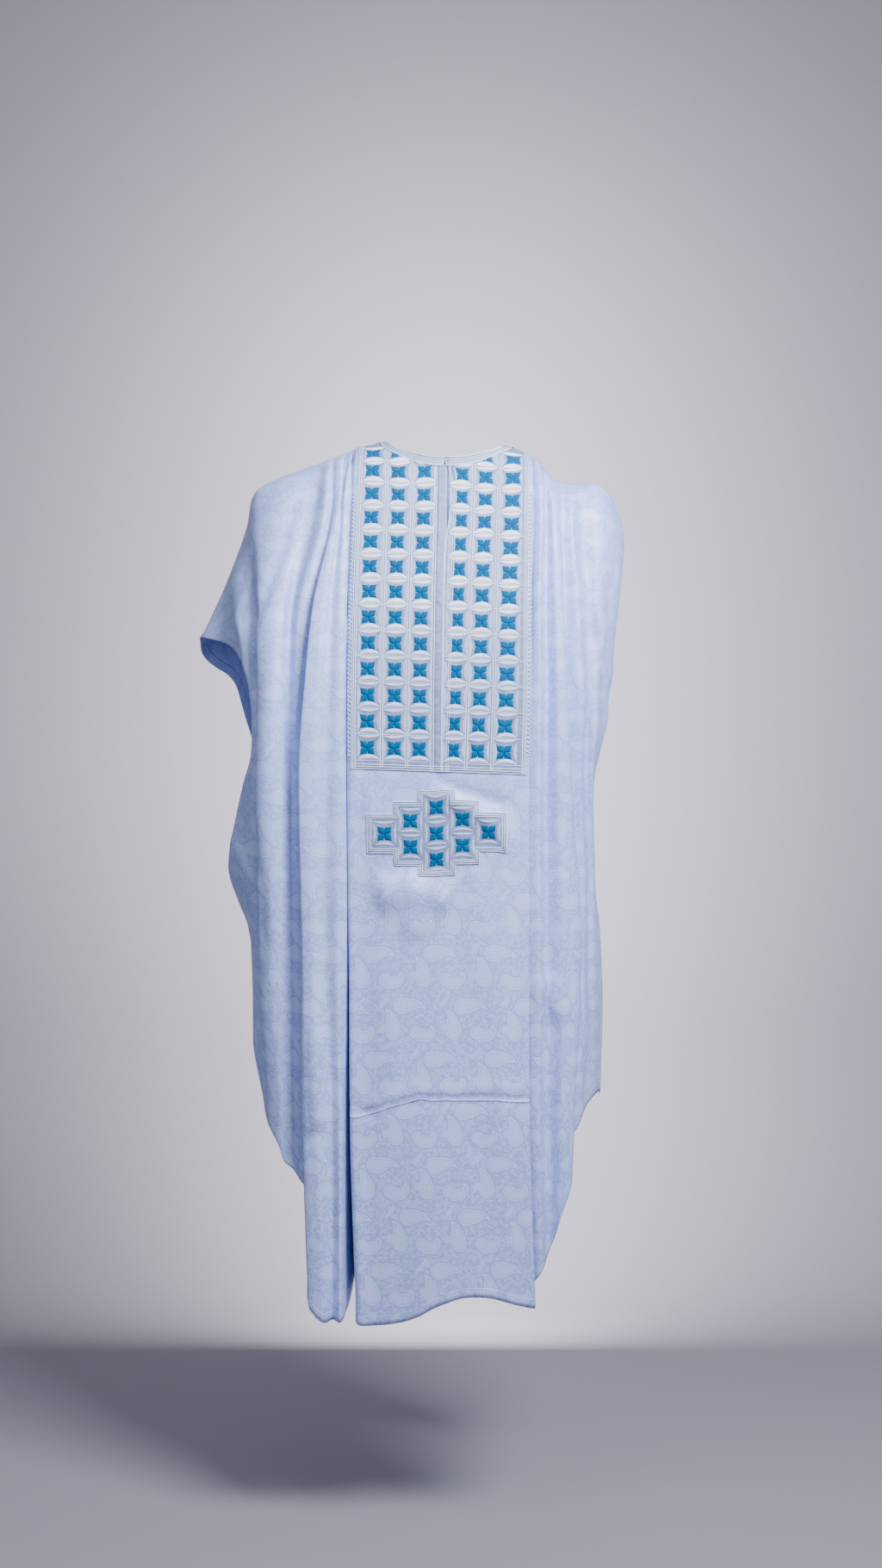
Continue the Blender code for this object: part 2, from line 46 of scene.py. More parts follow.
# Every drop is in millimetres below the shoulders, and "out" is how far a fold stands off the round
# section of the body.
foldRow = namedtuple("foldRow", "name topX topDrop cap x100 x220 x340 x460 x700 x940 x1180 "
                                "out100 out340 out700 out1100 hem backHem")

body = {
    "power": 2.4,            # of the rounded section, where 2 is an ellipse
    "rim": 0.995,
    "halfWidthRight": ((0, 300), (100, 302), (220, 326), (340, 336), (560, 330), (700, 298), (940, 286),
                       (1180, 280)),
    "halfWidthLeft": ((0, 262), (100, 262), (220, 258), (340, 248), (460, 234), (560, 224), (700, 230),
                      (1180, 226)),
    "frontDepth": ((0, 66), (100, 100), (220, 130), (340, 146), (460, 153), (700, 160), (940, 166),
                   (1180, 171)),
    "backDepth": ((0, 60), (100, 96), (220, 114), (340, 119), (460, 122), (700, 130), (940, 138),
                  (1180, 144)),
    "heights": (100, 220, 340, 460, 700, 940, 1180),
    "outHeights": (100, 340, 700, 1100),
    "topClear": 30.0,        # the shoulder is smooth this far down
    "backSway": 7.0,
    "backSwayWave": 170.0,
    "backSwayShift": 1.3,
    "backLoose": (60.0, 320.0),
    "backInset": 0.97,
}

cloth = {
    "wall": 0.9,             # damask with its backing
    "capSteps": 12,
    "chestSteps": 36,
    "skirtSteps": 104,
    "chestEnd": 456.0,
    "seamGap": 0.3,
    "shoulderSeamHalf": 0.2,
    "grain": 0.55,           # height of the cloth's own unevenness
    "topGrain": 0.35,        # and its share at the shoulder seam
    "smoothRows": 7,         # rows beside the shoulder seam without creases
    "weld": 0.05,
}


def through(knots, at):  # a smooth curve through (position, value) pairs
    if at <= knots[0][0]:
        return knots[0][1]
    if at >= knots[-1][0]:
        return knots[-1][1]
    index = max(i for i in range(len(knots) - 1) if knots[i][0] <= at)
    before = knots[max(index - 1, 0)]
    start = knots[index]
    end = knots[index + 1]
    after = knots[min(index + 2, len(knots) - 1)]
    width = end[0] - start[0]
    t = (at - start[0]) / width
    leave = (end[1] - before[1]) / (end[0] - before[0]) * width
    arrive = (after[1] - start[1]) / (after[0] - start[0]) * width
    rise = end[1] - start[1]
    return start[1] + t * (leave + t * (3 * rise - 2 * leave - arrive + t * (leave + arrive - 2 * rise)))


def ease(low, high, at):
    t = min(max((at - low) / (high - low), 0.0), 1.0)
    return t * t * (3 - 2 * t)


def sectionDepth(x, drop, side):
    depth = through(body["frontDepth"] if side == front else body["backDepth"], drop)
    half = through(body["halfWidthLeft"] if x > 0 else body["halfWidthRight"], drop)
    across = min(abs(x) / half, body["rim"])
    return depth * (1 - across ** body["power"]) ** (1 / body["power"])


def columnDrops(top, cap, hem):
    levels = []
    for step in range(cloth["capSteps"]):
        turn = math.pi / 2 * step / cloth["capSteps"]
        levels.append((top + cap * (1 - math.cos(turn)), math.sin(turn)))
    for step in range(cloth["chestSteps"]):
        levels.append((top + cap + (cloth["chestEnd"] - top - cap) * step / cloth["chestSteps"], 1.0))
    for step in range(cloth["skirtSteps"] + 1):
        levels.append((cloth["chestEnd"] + (hem - cloth["chestEnd"]) * step / cloth["skirtSteps"], 1.0))
    return levels


def foldX(fold, drop, side):
    knots = [(fold.topDrop, fold.topX)]
    for height, x in zip(body["heights"], fold[4:11]):
        if height > fold.topDrop + body["topClear"]:
            knots.append((height, x))
    x = through(knots, drop)
    if side == back:
        loose = ease(*body["backLoose"], drop)
        shift = body["backSwayShift"] if x > 0 else 0.0
        sway = body["backSway"] * math.sin(drop / body["backSwayWave"] + shift)
        x = x * (1 - (1 - body["backInset"]) * loose) + sway * loose
    return x


def foldOut(fold, drop):
    return through(list(zip(body["outHeights"], fold[11:15])), drop)


def foldColumn(fold, side, shift=0.0, topHalf=0.0):
    hem = fold.hem if side == front else fold.backHem
    points = []
    for drop, turn in columnDrops(fold.topDrop, fold.cap, hem):
        x = foldX(fold, drop, side) + shift
        depth = sectionDepth(x, drop, side) + foldOut(fold, drop)
        points.append(Vector((x, side * (topHalf + (depth - topHalf) * turn), -drop)))
    return points


def seamStart(edges):  # the drop where the cuff ends and the side seam begins
    return min(drop for drop, _, depth in edges if depth == 0)


def cuffColumn(top, edges, side, seam):
    topX, topDrop, cap = top
    xs = [(drop, x) for drop, x, _ in edges]
    seamXs = [(drop, x) for drop, x, _ in seam]
    depths = [(drop, depth) for drop, _, depth in edges]
    start = seamStart(edges)
    points = []
    for drop, turn in columnDrops(topDrop, cap, edges[-1][0]):
        if drop >= start:
            points.append(Vector((through(seamXs, drop), 0.0, -drop)))
        else:
            depth = max(through(depths, drop), 0.0) * turn
            points.append(Vector((through(xs, drop), side * depth, -drop)))
    return points


middle = {
    "spanSteps": 8,
    "leftTurn": (
        foldRow("wall", -131, -7, 54, -132.8, -135.2, -136.2, -135.6, -133.6, -131, -122.5,
                -1, 0, -2, -34, 1189, 1206),
        foldRow("edge", -128, -9, 54, -130.5, -133, -134.5, -134, -132, -129, -118.5,
                2, 2, 2, 4, 1212, 1214),
    ),
    "rightTurn": (
        foldRow("edge", 121, 2, 54, 120.5, 118, 116.5, 113.5, 113.5, 114.5, 122, 1, 0, 0, 2, 1190, 1207),
        foldRow("wall", 122.6, 4, 54, 121.6, 118, 114, 110, 109, 109.5, 116, -1, -2, -3, -8, 1183, 1200),
    ),
    "frontHems": (1212, 1210, 1206, 1199, 1188, 1180, 1174, 1173, 1175, 1181, 1187),
    "backHems": (1214, 1216, 1214, 1212, 1214, 1218, 1220, 1216, 1212, 1214, 1212),
    "backOuts": (6, 10, -4, 12, 2, -6, 8, 14, -2, 10, 4),
    "neckColumns": 7,
    "neckHalfWidth": 88.0,
    "neckFront": 72.0,
    "neckBack": 52.0,
    "neckFrontDrop": 14.0,
    "neckBackDrop": -2.0,
    "neckDip": 1.5,
    "neckRightDrop": -16.0,
    "neckLeftDrop": -12.0,
    "neckCap": 40.0,
    "topBlend": 150.0,       # a column is in its place between the folds this far below the neck
    "outRange": (150.0, 900.0),
}


def middleColumns(hems, outs, side):
    leftEdge = middle["leftTurn"][-1]
    rightEdge = middle["rightTurn"][0]
    count = len(hems)
    reach = middle["neckFront"] if side == front else middle["neckBack"]
    middleDrop = middle["neckFrontDrop"] if side == front else middle["neckBackDrop"]
    firstNeck = (count - middle["neckColumns"]) // 2
    half = cloth["shoulderSeamHalf"]
    columns = []
    for index in range(count):
        share = (index + 1) / (count + 1)
        if firstNeck <= index < firstNeck + middle["neckColumns"]:
            angle = math.pi * (index - firstNeck) / (middle["neckColumns"] - 1)
            topX = -middle["neckHalfWidth"] * math.cos(angle)
            topY = half + reach * math.sin(angle)
            tilt = middle["neckLeftDrop"] - middle["neckRightDrop"]
            sideDrop = middle["neckRightDrop"] + tilt * angle / math.pi
            topDrop = sideDrop + (middleDrop - sideDrop) * max(math.sin(angle), 0.0) ** middle["neckDip"]
            cap = leftEdge.cap + (middle["neckCap"] - leftEdge.cap) * math.sin(angle)
        else:
            if index < firstNeck:
                edge, neckX, neckDrop = leftEdge, -middle["neckHalfWidth"], middle["neckRightDrop"]
                toward = (index + 1) / (firstNeck + 1)
            else:
                edge, neckX, neckDrop = rightEdge, middle["neckHalfWidth"], middle["neckLeftDrop"]
                toward = (count - index) / (firstNeck + 1)
            topX = edge.topX + (neckX - edge.topX) * toward
            topY = half
            topDrop = edge.topDrop + (neckDrop - edge.topDrop) * toward
            cap = edge.cap
        points = []
        for drop, turn in columnDrops(topDrop, cap, hems[index]):
            lowX = (1 - share) * foldX(leftEdge, drop, side) + share * foldX(rightEdge, drop, side)
            x = topX + (lowX - topX) * ease(topDrop, topDrop + middle["topBlend"], drop)
            depth = sectionDepth(x, drop, side) + outs[index] * ease(*middle["outRange"], drop)
            points.append(Vector((x, side * (topY + (depth - topY) * turn), -drop)))
        columns.append(points)
    return columns


def slope(before, here, after):
    behind = max((here - before).length, 0.01)
    ahead = max((after - here).length, 0.01)
    return ((here - before) / behind * ahead + (after - here) / ahead * behind) / (behind + ahead)


def spread(columns, steps):  # more columns on smooth curves through the fold lines
    result = []
    last = len(columns) - 1
    for index in range(last):
        for step in range(steps):
            t = step / steps
            column = []
            for row in range(len(columns[0])):
                start = columns[index][row]
                end = columns[index + 1][row]
                width = (end - start).length
                leave = slope(columns[max(index - 1, 0)][row], start, end) * width
                arrive = slope(start, end, columns[min(index + 2, last)][row]) * width
                rise = end - start
                column.append(start + t * (leave + t * (3 * rise - 2 * leave - arrive
                                                        + t * (leave + arrive - 2 * rise))))
            result.append(column)
    result.append(columns[last])
    return result


creases = {  # x and drop of a crease's two ends, its width and its height
    front: (
        (-118, 928, -40, 906, 7, -1.6), (-40, 906, 112, 902, 7, -1.5), (-118, 916, -40, 894, 10, 1.8),
        (-40, 894, 112, 890, 10, 1.6), (-12, 466, 24, 488, 8, -4.2), (24, 488, 84, 502, 10, -4.8),
        (-2, 488, 60, 524, 14, 4.4), (60, 524, 92, 560, 14, 3.6), (-92, 626, -40, 618, 24, 10.0),
        (-40, 618, 4, 634, 20, 7.5), (-56, 652, -30, 676, 20, 4.6), (-84, 590, -10, 584, 12, -2.0),
        (-112, 470, -96, 560, 10, 1.8), (-88, 700, -70, 900, 18, 1.6), (18, 640, 26, 880, 22, -2.0),
        (70, 680, 84, 1010, 20, 2.2), (-20, 960, -34, 1180, 24, 2.6), (46, 940, 58, 1180, 20, -2.6),
        (-136, 8, -158, 44, 6, -2.6), (-139, 22, -157, 78, 6, -2.4), (-131, 30, -146, 92, 6, 1.8),
        (-206, 70, -258, 232, 9, -3.6), (-214, 88, -250, 150, 7, -2.4), (-276, 150, -306, 232, 8, -2.6),
        (-248, 250, -300, 330, 14, 3.0), (-236, 330, -262, 520, 16, 2.4), (-300, 552, -264, 618, 9, 2.8),
        (-270, 540, -250, 700, 10, -2.2), (-236, 620, -252, 820, 12, 2.0),
        (-232, 560, -226, 860, 12, -1.8), (-148, 240, -134, 276, 6, 1.8), (-128, 912, -98, 926, 8, -2.4),
        (-180, 812, -172, 946, 14, 4.6), (-170, 948, -196, 962, 9, -3.0), (172, 82, 196, 180, 9, -2.2),
        (206, 252, 230, 366, 9, -3.4), (212, 238, 236, 330, 8, 2.8), (178, 300, 214, 420, 12, 2.4),
        (192, 420, 180, 560, 10, -2.0), (128, 738, 158, 792, 16, 4.4), (190, 775, 211, 900, 9, 3.0),
        (132, 830, 140, 1010, 8, -1.6), (204, 620, 200, 740, 9, -2.0),
    ),
    back: (
        (-90, 140, -126, 330, 14, 2.8), (84, 130, 112, 300, 12, 2.6), (-6, 180, 14, 470, 26, -3.0),
        (-70, 520, -40, 830, 20, 3.4), (40, 470, 62, 780, 18, -2.8), (-112, 760, -84, 1120, 18, -2.8),
        (8, 820, -10, 1160, 22, 3.4), (86, 880, 98, 1180, 16, 2.4), (-212, 90, -262, 260, 10, -3.4),
        (-240, 320, -270, 520, 15, 3.0), (-230, 600, -246, 820, 12, -2.4),
        (-186, 420, -196, 700, 14, 2.2), (176, 90, 206, 240, 10, -2.8), (196, 300, 208, 520, 12, 2.8),
        (150, 560, 160, 840, 12, -2.2), (-118, 934, 112, 926, 7, -1.8), (-30, 60, -96, 150, 12, 2.2),
        (40, 70, 92, 170, 12, -2.0),
    ),
}

unevenness = (  # size across, size down, height and the noise's own offset
    (64, 170, 1.3, 3.0),
    (24, 46, 0.45, 11.0),
    (9, 13, 0.12, 27.0),
)


def unevenAt(point):
    lift = 0.0
    for across, down, height, seed in unevenness:
        spot = Vector((point.x / across + seed, point.y / across, point.z / down))
        lift += height * noise.noise(spot)
    return lift


creaseEnds = (-0.3, 0.25, 0.75, 1.3)  # along its line, where a crease starts, is full, fades and ends


def creaseAt(rows, x, drop):
    start, full, fade, end = creaseEnds
    lift = 0.0
    for x0, drop0, x1, drop1, width, rise in rows:
        along = x1 - x0
        down = drop1 - drop0
        t = ((x - x0) * along + (drop - drop0) * down) / (along * along + down * down)
        if start < t < end:
            off = (x - x0 - t * along) ** 2 + (drop - drop0 - t * down) ** 2
            ends = ease(start, full, t) * (1 - ease(fade, end, t))
            lift += rise * math.exp(-off / width ** 2) * ends
    return lift


def normalsOf(columns):
    last = len(columns) - 1
    end = len(columns[0]) - 1
    normals = []
    for column in range(last + 1):
        line = []
        for row in range(end + 1):
            across = columns[min(column + 1, last)][row] - columns[max(column - 1, 0)][row]
            down = columns[column][min(row + 1, end)] - columns[column][max(row - 1, 0)]
            line.append(down.cross(across).normalized())
        normals.append(line)
    return normals


def creased(columns, side):
    normals = normalsOf(columns)
    result = []
    for points, lines in zip(columns, normals):
        moved = []
        for row, (point, normal) in enumerate(zip(points, lines)):
            start = ease(0, cloth["smoothRows"], row)
            lift = cloth["grain"] * unevenAt(point) * (cloth["topGrain"] + (1 - cloth["topGrain"]) * start)
            lift += start * creaseAt(creases[side], point.x, -point.z)
            moved.append(point - normal * side * lift)
        result.append(moved)
    return result


def lengthsAlong(points):
    total = [0.0]
    for before, after in zip(points, points[1:]):
        total.append(total[-1] + (after - before).length)
    return total


def flatPlaces(columns, homeColumn, homeRow):  # each point's place in metres on the cloth laid flat
    down = [lengthsAlong(points) for points in columns]
    rowLines = [[column[row] for column in columns] for row in range(len(columns[0]))]
    across = [lengthsAlong(points) for points in rowLines]
    places = []
    for column in range(len(columns)):
        line = []
        for row in range(len(columns[0])):
            line.append(((across[row][column] - across[row][homeColumn]) * mm,
                         (down[column][homeRow] - down[column][row]) * mm))
        places.append(line)
    return places


noCuff = 1000.0


def edgePlaces(columns, cuffAt):  # each point's distance from the cuff edge and from the nearer hem
    places = []
    count = len(columns[0])
    cuff = [lengthsAlong([column[row] for column in columns]) for row in range(count)]
    for column in range(len(columns)):
        down = lengthsAlong(columns[column])
        line = []
        for row in range(count):
            fromCuff = abs(cuff[row][column] - cuff[row][cuffAt]) if cuffAt is not None else noCuff
            fromHem = down[-1] - down[row] if cuffAt is None else min(down[row], down[-1] - down[row])
            line.append((fromCuff * mm, fromHem * mm))
        places.append(line)
    return places


def clothMesh(name, columns, flat, edges, gone=None, weld=None):
    across = len(columns)
    down = len(columns[0])
    sheet = bmesh.new()
    bmesh.ops.create_grid(sheet, x_segments=across - 1, y_segments=down - 1, size=1)
    order = sorted(sheet.verts, key=lambda v: (round(v.co.x, 5), -round(v.co.y, 5)))
    cellOf = {}
    for number, vertex in enumerate(order):
        column, row = divmod(number, down)
        vertex.co = columns[column][row] * mm
        cellOf[vertex] = (column, row)
    flatLayer = sheet.loops.layers.uv.new("flat")
    edgeLayer = sheet.loops.layers.uv.new("edges")
    for face in sheet.faces:
        for loop in face.loops:
            column, row = cellOf[loop.vert]
            loop[flatLayer].uv = flat[column][row]
            loop[edgeLayer].uv = edges[column][row]
    if gone:
        spare = [face for face in sheet.faces if gone([cellOf[vertex] for vertex in face.verts])]
        bmesh.ops.delete(sheet, geom=spare, context="FACES")
    if weld:
        seam = [vertex for vertex, cell in cellOf.items() if vertex.is_valid and weld(cell)]
        bmesh.ops.remove_doubles(sheet, verts=seam, dist=cloth["weld"] * mm)
    mesh = bpy.data.meshes.new(name)
    sheet.to_mesh(mesh)
    sheet.free()
    return mesh


def addPiece(name, mesh, material, thickness=0.0, offset=-1.0):
    mesh.materials.append(material)
    mesh.shade_smooth()
    piece = bpy.data.objects.new(name, mesh)
    bpy.context.scene.collection.objects.link(piece)
    if thickness:
        wall = piece.modifiers.new("Wall", "SOLIDIFY")
        wall.thickness = thickness * mm
        wall.offset = offset
    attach(piece, "root")
    return piece


def areaOf(mesh):
    return sum(polygon.area for polygon in mesh.polygons)


def addMath(tree, operation, first, second=None, third=None, clamp=False):
    node = tree.nodes.new("ShaderNodeMath")
    node.operation = operation
    node.use_clamp = clamp
    for socket, value in zip(node.inputs, (first, second, third)):
        if isinstance(value, (int, float)):
            socket.default_value = value
        elif value is not None:
            tree.links.new(value, socket)
    return node.outputs[0]


def times(tree, first, second):
    return addMath(tree, "MULTIPLY", first, second)


def plus(tree, first, second):
    return addMath(tree, "ADD", first, second)


def minus(tree, first, second):
    return addMath(tree, "SUBTRACT", first, second)


def distance(tree, value):  # how far a value is from nought
    return addMath(tree, "ABSOLUTE", value)


def setRange(node, values):
    for socket, value in zip(("From Min", "From Max", "To Min", "To Max"), values):
        node.inputs[socket].default_value = value


def addSmooth(tree, value, low, high):  # 0 at low and 1 at high, whichever is larger
    node = tree.nodes.new("ShaderNodeMapRange")
    node.interpolation_type = "SMOOTHSTEP"
    tree.links.new(value, node.inputs["Value"])
    node.inputs["From Min"].default_value = low
    node.inputs["From Max"].default_value = high
    return node.outputs["Result"]


def addNoise(tree, vector, scale, detail):
    node = tree.nodes.new("ShaderNodeTexNoise")
    node.inputs["Scale"].default_value = scale
    node.inputs["Detail"].default_value = detail
    tree.links.new(vector, node.inputs["Vector"])
    return node.outputs["Fac"]


def addSplit(tree, vector):
    node = tree.nodes.new("ShaderNodeSeparateXYZ")
    tree.links.new(vector, node.inputs[0])
    return node.outputs[0], node.outputs[1]


def addJoin(tree, x, y):
    node = tree.nodes.new("ShaderNodeCombineXYZ")
    tree.links.new(x, node.inputs[0])
    tree.links.new(y, node.inputs[1])
    return node.outputs[0]


def newGroup(name, inputs, outputs):
    group = bpy.data.node_groups.new(name, "ShaderNodeTree")
    for socket, value in inputs:
        kind = "NodeSocketVector" if value is None else "NodeSocketFloat"
        made = group.interface.new_socket(name=socket, in_out="INPUT", socket_type=kind)
        if value is not None:
            made.default_value = value
    for socket in outputs:
        group.interface.new_socket(name=socket, in_out="OUTPUT", socket_type="NodeSocketFloat")
    start = group.nodes.new("NodeGroupInput")
    end = group.nodes.new("NodeGroupOutput")
    return group, start.outputs, end.inputs


damaskFigure = {
    "across": 84.0,
    "down": 72.0,
    "lying": ((-11, 0, 11.2), (-3.5, 0.9, 10.0), (3.5, 1.8, 8.0), (9.5, 2.0, 5.8), (14.5, 1.0, 3.9),
              (18.5, -1.2, 2.4), (21.5, -3.6, 1.3)),
    "standing": ((0, -10.5, 10.6), (-0.4, -3, 10.0), (-1.4, 4, 8.2), (-3.0, 10.2, 5.8), (-5.4, 15.2, 3.8),
                 (-8.4, 18.4, 2.0)),
    "standingAt": (23.0, 25.0),
    "curl": ((-9, 1, 8.6), (-2, -3.4, 8.8), (6, -3.0, 8.2), (12, 0.8, 6.2), (14.6, 5.6, 4.0),
             (13.0, 9.6, 2.2)),
    "curlAt": (-17.0, 37.0),
    "leaf": ((-4.5, -6, 2.8), (-1.5, -3, 3.6), (1.5, 0.6, 3.4), (4.0, 4.4, 2.4), (5.6, 7.4, 1.3)),
    "leafAt": (35.0, -8.0),
    "budAt": (36.0, 30.0),
    "bud": (6.0, 1.5, 5.2),  # its petals, their depth and its radius
    "blend": 1.2,            # how softly the circles of a drop run together
    "rings": ((2.5, 1.0, 0.4, 0.75), (5.2, 0.8, 0.3, 0.5), (8.2, 0.9, 0.4, 0.6)),  # inwards from its edge
    "botehEdge": 0.3,
    "leafEdge": 0.4,
    "leafTone": 0.7,
    "fillerTone": 0.58,
    "fillerClear": (1.4, 2.4),  # filler starts this far outside a drop
    "vineNoise": (0.1, 2.5),    # scale to a millimetre and detail, as are the two below
    "warpNoise": (0.11, 2.0),
    "speckleNoise": (0.42, 3.0),
    "vine": (0.04, 0.014),
    "warp": 2.0,
    "speckle": (0.35, 0.65),
    "seedScale": 0.15,
    "seedRandom": 0.8,
    "seedRing": 0.36,
    "seedRingEdge": (0.13, 0.05),
    "seedHeart": (0.17, 0.1),
}


def latticePlace(tree, x, y, shift):  # a place in millimetres from the middle of its own repeat
    across = damaskFigure["across"]
    down = damaskFigure["down"]
    y = plus(tree, y, shift[1])
    line = addMath(tree, "FLOOR", addMath(tree, "DIVIDE", y, down))
    odd = addMath(tree, "FLOORED_MODULO", line, 2.0)
    x = plus(tree, x, times(tree, odd, across / 2))
    x = plus(tree, x, shift[0] + across / 2)
    localX = minus(tree, addMath(tree, "FLOORED_MODULO", x, across), across / 2)
    localY = minus(tree, addMath(tree, "FLOORED_MODULO", y, down), down / 2)
    return addJoin(tree, localX, localY)


def dropShape(tree, place, circles):  # how far a place is outside a row of shrinking circles
    shape = None
    for x, y, radius in circles:
        reach = tree.nodes.new("ShaderNodeVectorMath")
        reach.operation = "DISTANCE"
        reach.inputs[1].default_value = (x, y, 0)
        tree.links.new(place, reach.inputs[0])
        away = minus(tree, reach.outputs["Value"], radius)
        shape = away if shape is None else addMath(tree, "SMOOTH_MIN", shape, away, damaskFigure["blend"])
    return shape


def paisleyGroup():
    group, given, wanted = newGroup("paisleyFigure", (("Cloth", None),), ("Figure", "Detail"))
    scaled = group.nodes.new("ShaderNodeVectorMath")
    scaled.operation = "SCALE"
    scaled.inputs["Scale"].default_value = 1 / mm
    group.links.new(given["Cloth"], scaled.inputs[0])
    spot = scaled.outputs[0]
    x, y = addSplit(group, spot)

    def dropAt(name, shift):
        return dropShape(group, latticePlace(group, x, y, shift), damaskFigure[name])

    ragged = minus(group, addNoise(group, spot, *damaskFigure["warpNoise"]), 0.5)
    ragged = times(group, ragged, damaskFigure["warp"])
    lying = dropAt("lying", (0.0, 0.0))
    standing = dropAt("standing", damaskFigure["standingAt"])
    curl = dropAt("curl", damaskFigure["curlAt"])
    leaf = dropAt("leaf", damaskFigure["leafAt"])
    petals, petalDepth, budRadius = damaskFigure["bud"]
    budPlace = latticePlace(group, x, y, damaskFigure["budAt"])
    budX, budY = addSplit(group, budPlace)
    turns = times(group, addMath(group, "ARCTAN2", budY, budX), petals)
    edge = times(group, addMath(group, "COSINE", turns), petalDepth)
    reach = group.nodes.new("ShaderNodeVectorMath")
    reach.operation = "LENGTH"
    group.links.new(budPlace, reach.inputs[0])
    bud = minus(group, minus(group, reach.outputs["Value"], edge), budRadius)
    boteh = addMath(group, "MINIMUM", addMath(group, "MINIMUM", lying, standing), curl)
    boteh = plus(group, boteh, ragged)
    small = plus(group, addMath(group, "MINIMUM", leaf, bud), ragged)

    cutOut = 0.0
    for inwards, outer, inner, strength in damaskFigure["rings"]:
        ring = addSmooth(group, distance(group, plus(group, boteh, inwards)), outer, inner)
        cutOut = addMath(group, "MAXIMUM", cutOut, times(group, ring, strength))
    soft = damaskFigure["botehEdge"]
    botehTone = times(group, addSmooth(group, boteh, soft, -soft), minus(group, 1.0, cutOut))
    soft = damaskFigure["leafEdge"]
    smallTone = times(group, addSmooth(group, small, soft, -soft), damaskFigure["leafTone"])

    clear = addSmooth(group, boteh, *damaskFigure["fillerClear"])
    curls = addNoise(group, spot, *damaskFigure["vineNoise"])
    vine = addSmooth(group, distance(group, minus(group, curls, 0.5)), *damaskFigure["vine"])
    seeds = group.nodes.new("ShaderNodeTexVoronoi")
    seeds.inputs["Scale"].default_value = damaskFigure["seedScale"]
    seeds.inputs["Randomness"].default_value = damaskFigure["seedRandom"]
    group.links.new(spot, seeds.inputs["Vector"])
    fromRing = distance(group, minus(group, seeds.outputs["Distance"], damaskFigure["seedRing"]))
    seedRing = addSmooth(group, fromRing, *damaskFigure["seedRingEdge"])
    seedHeart = addSmooth(group, seeds.outputs["Distance"], *damaskFigure["seedHeart"])
    filler = addMath(group, "MAXIMUM", addMath(group, "MAXIMUM", seedRing, seedHeart), vine)
    fillerTone = times(group, times(group, filler, clear), damaskFigure["fillerTone"])
    tone = addMath(group, "MAXIMUM", botehTone, addMath(group, "MAXIMUM", smallTone, fillerTone))
    group.links.new(tone, wanted["Figure"])
    speckle = addNoise(group, spot, *damaskFigure["speckleNoise"])
    group.links.new(addSmooth(group, speckle, *damaskFigure["speckle"]), wanted["Detail"])
    return group


turnsPerMetre = 2 * math.pi / mm  # a wave in the weave or a seam, for a pitch in millimetres


weaving = {
    "warp": 0.62,
    "weft": 0.72,
    "slubs": ((700.0, 60.0), (60.0, 700.0)),  # thicker threads, down and across
}


def weaveGroup():
    pitches = (("Cloth", None), ("Warp", weaving["warp"]), ("Weft", weaving["weft"]))
    group, given, wanted = newGroup("wovenThreads", pitches, ("Height", "Slub"))
    x, y = addSplit(group, given["Cloth"])
    waves = []
    for value, pitch in ((x, given["Warp"]), (y, given["Weft"])):
        turns = addMath(group, "DIVIDE", times(group, value, turnsPerMetre), pitch)
        waves.append(addMath(group, "SINE", turns))
    group.links.new(times(group, waves[0], waves[1]), wanted["Height"])
    slubs = []
    for scaleX, scaleY in weaving["slubs"]:
        place = addJoin(group, times(group, x, scaleX), times(group, y, scaleY))
        slubs.append(addNoise(group, place, 1.0, 1.0))
    group.links.new(minus(group, plus(group, *slubs), 1.0), wanted["Slub"])
    return group


hemWork = {  # in millimetres
    "width": 13.0,
    "stitch": 3.4,
    "foldEdge": 0.9,
    "thread": (0.9, 0.35),
    "dash": (-0.6, 0.1),     # of a wave along the seam
}


def hemGroup():
    sizes = (("Edges", None), ("Cloth", None), ("Hem", hemWork["width"]), ("Stitch", hemWork["stitch"]))
    group, given, wanted = newGroup("stitchedHem", sizes, ("Fold", "Thread"))
    fromCuff, fromHem = addSplit(group, given["Edges"])
    x, y = addSplit(group, given["Cloth"])
    near = times(group, addMath(group, "MINIMUM", fromCuff, fromHem), 1 / mm)
    isHem = addMath(group, "LESS_THAN", fromHem, fromCuff)
    along = plus(group, times(group, x, isHem), times(group, y, minus(group, 1.0, isHem)))
    away = minus(group, near, given["Hem"])
    group.links.new(addSmooth(group, away, hemWork["foldEdge"], -hemWork["foldEdge"]), wanted["Fold"])
    line = addSmooth(group, distance(group, away), *hemWork["thread"])
    turns = addMath(group, "DIVIDE", times(group, along, turnsPerMetre), given["Stitch"])
    dash = addSmooth(group, addMath(group, "SINE", turns), *hemWork["dash"])
    group.links.new(times(group, line, dash), wanted["Thread"])
    return group


pressed = {  # metres on the flat cloth
    "bend": (-0.118, -0.03, -0.474, -0.452),  # the line drops toward the right edge
    "ridge": 0.0024,
    "hollow": 0.006,
    "hollowDepth": 0.8,
    "wander": 0.006,
    "wanderScale": 14.0,
}


def pressedGroup():  # the sharp line left where the folded robe was pressed
    group, given, wanted = newGroup("pressedLine", (("Cloth", None), ("Amount", 1.0)), ("Height",))
    x, y = addSplit(group, given["Cloth"])
    bend = group.nodes.new("ShaderNodeMapRange")
    group.links.new(x, bend.inputs["Value"])
    setRange(bend, pressed["bend"])
    wander = minus(group, addNoise(group, given["Cloth"], pressed["wanderScale"], 1.0), 0.5)
    wander = times(group, wander, pressed["wander"])
    away = minus(group, minus(group, y, bend.outputs[0]), wander)
    ridge = addSmooth(group, distance(group, away), pressed["ridge"], 0.0)
    hollow = addSmooth(group, distance(group, minus(group, away, pressed["hollow"])), pressed["hollow"], 0.0)
    height = minus(group, ridge, times(group, hollow, pressed["hollowDepth"]))
    group.links.new(times(group, height, given["Amount"]), wanted["Height"])
    return group


longThreads = (1500.0, 160.0)  # tone changes to a metre, across the threads and along them


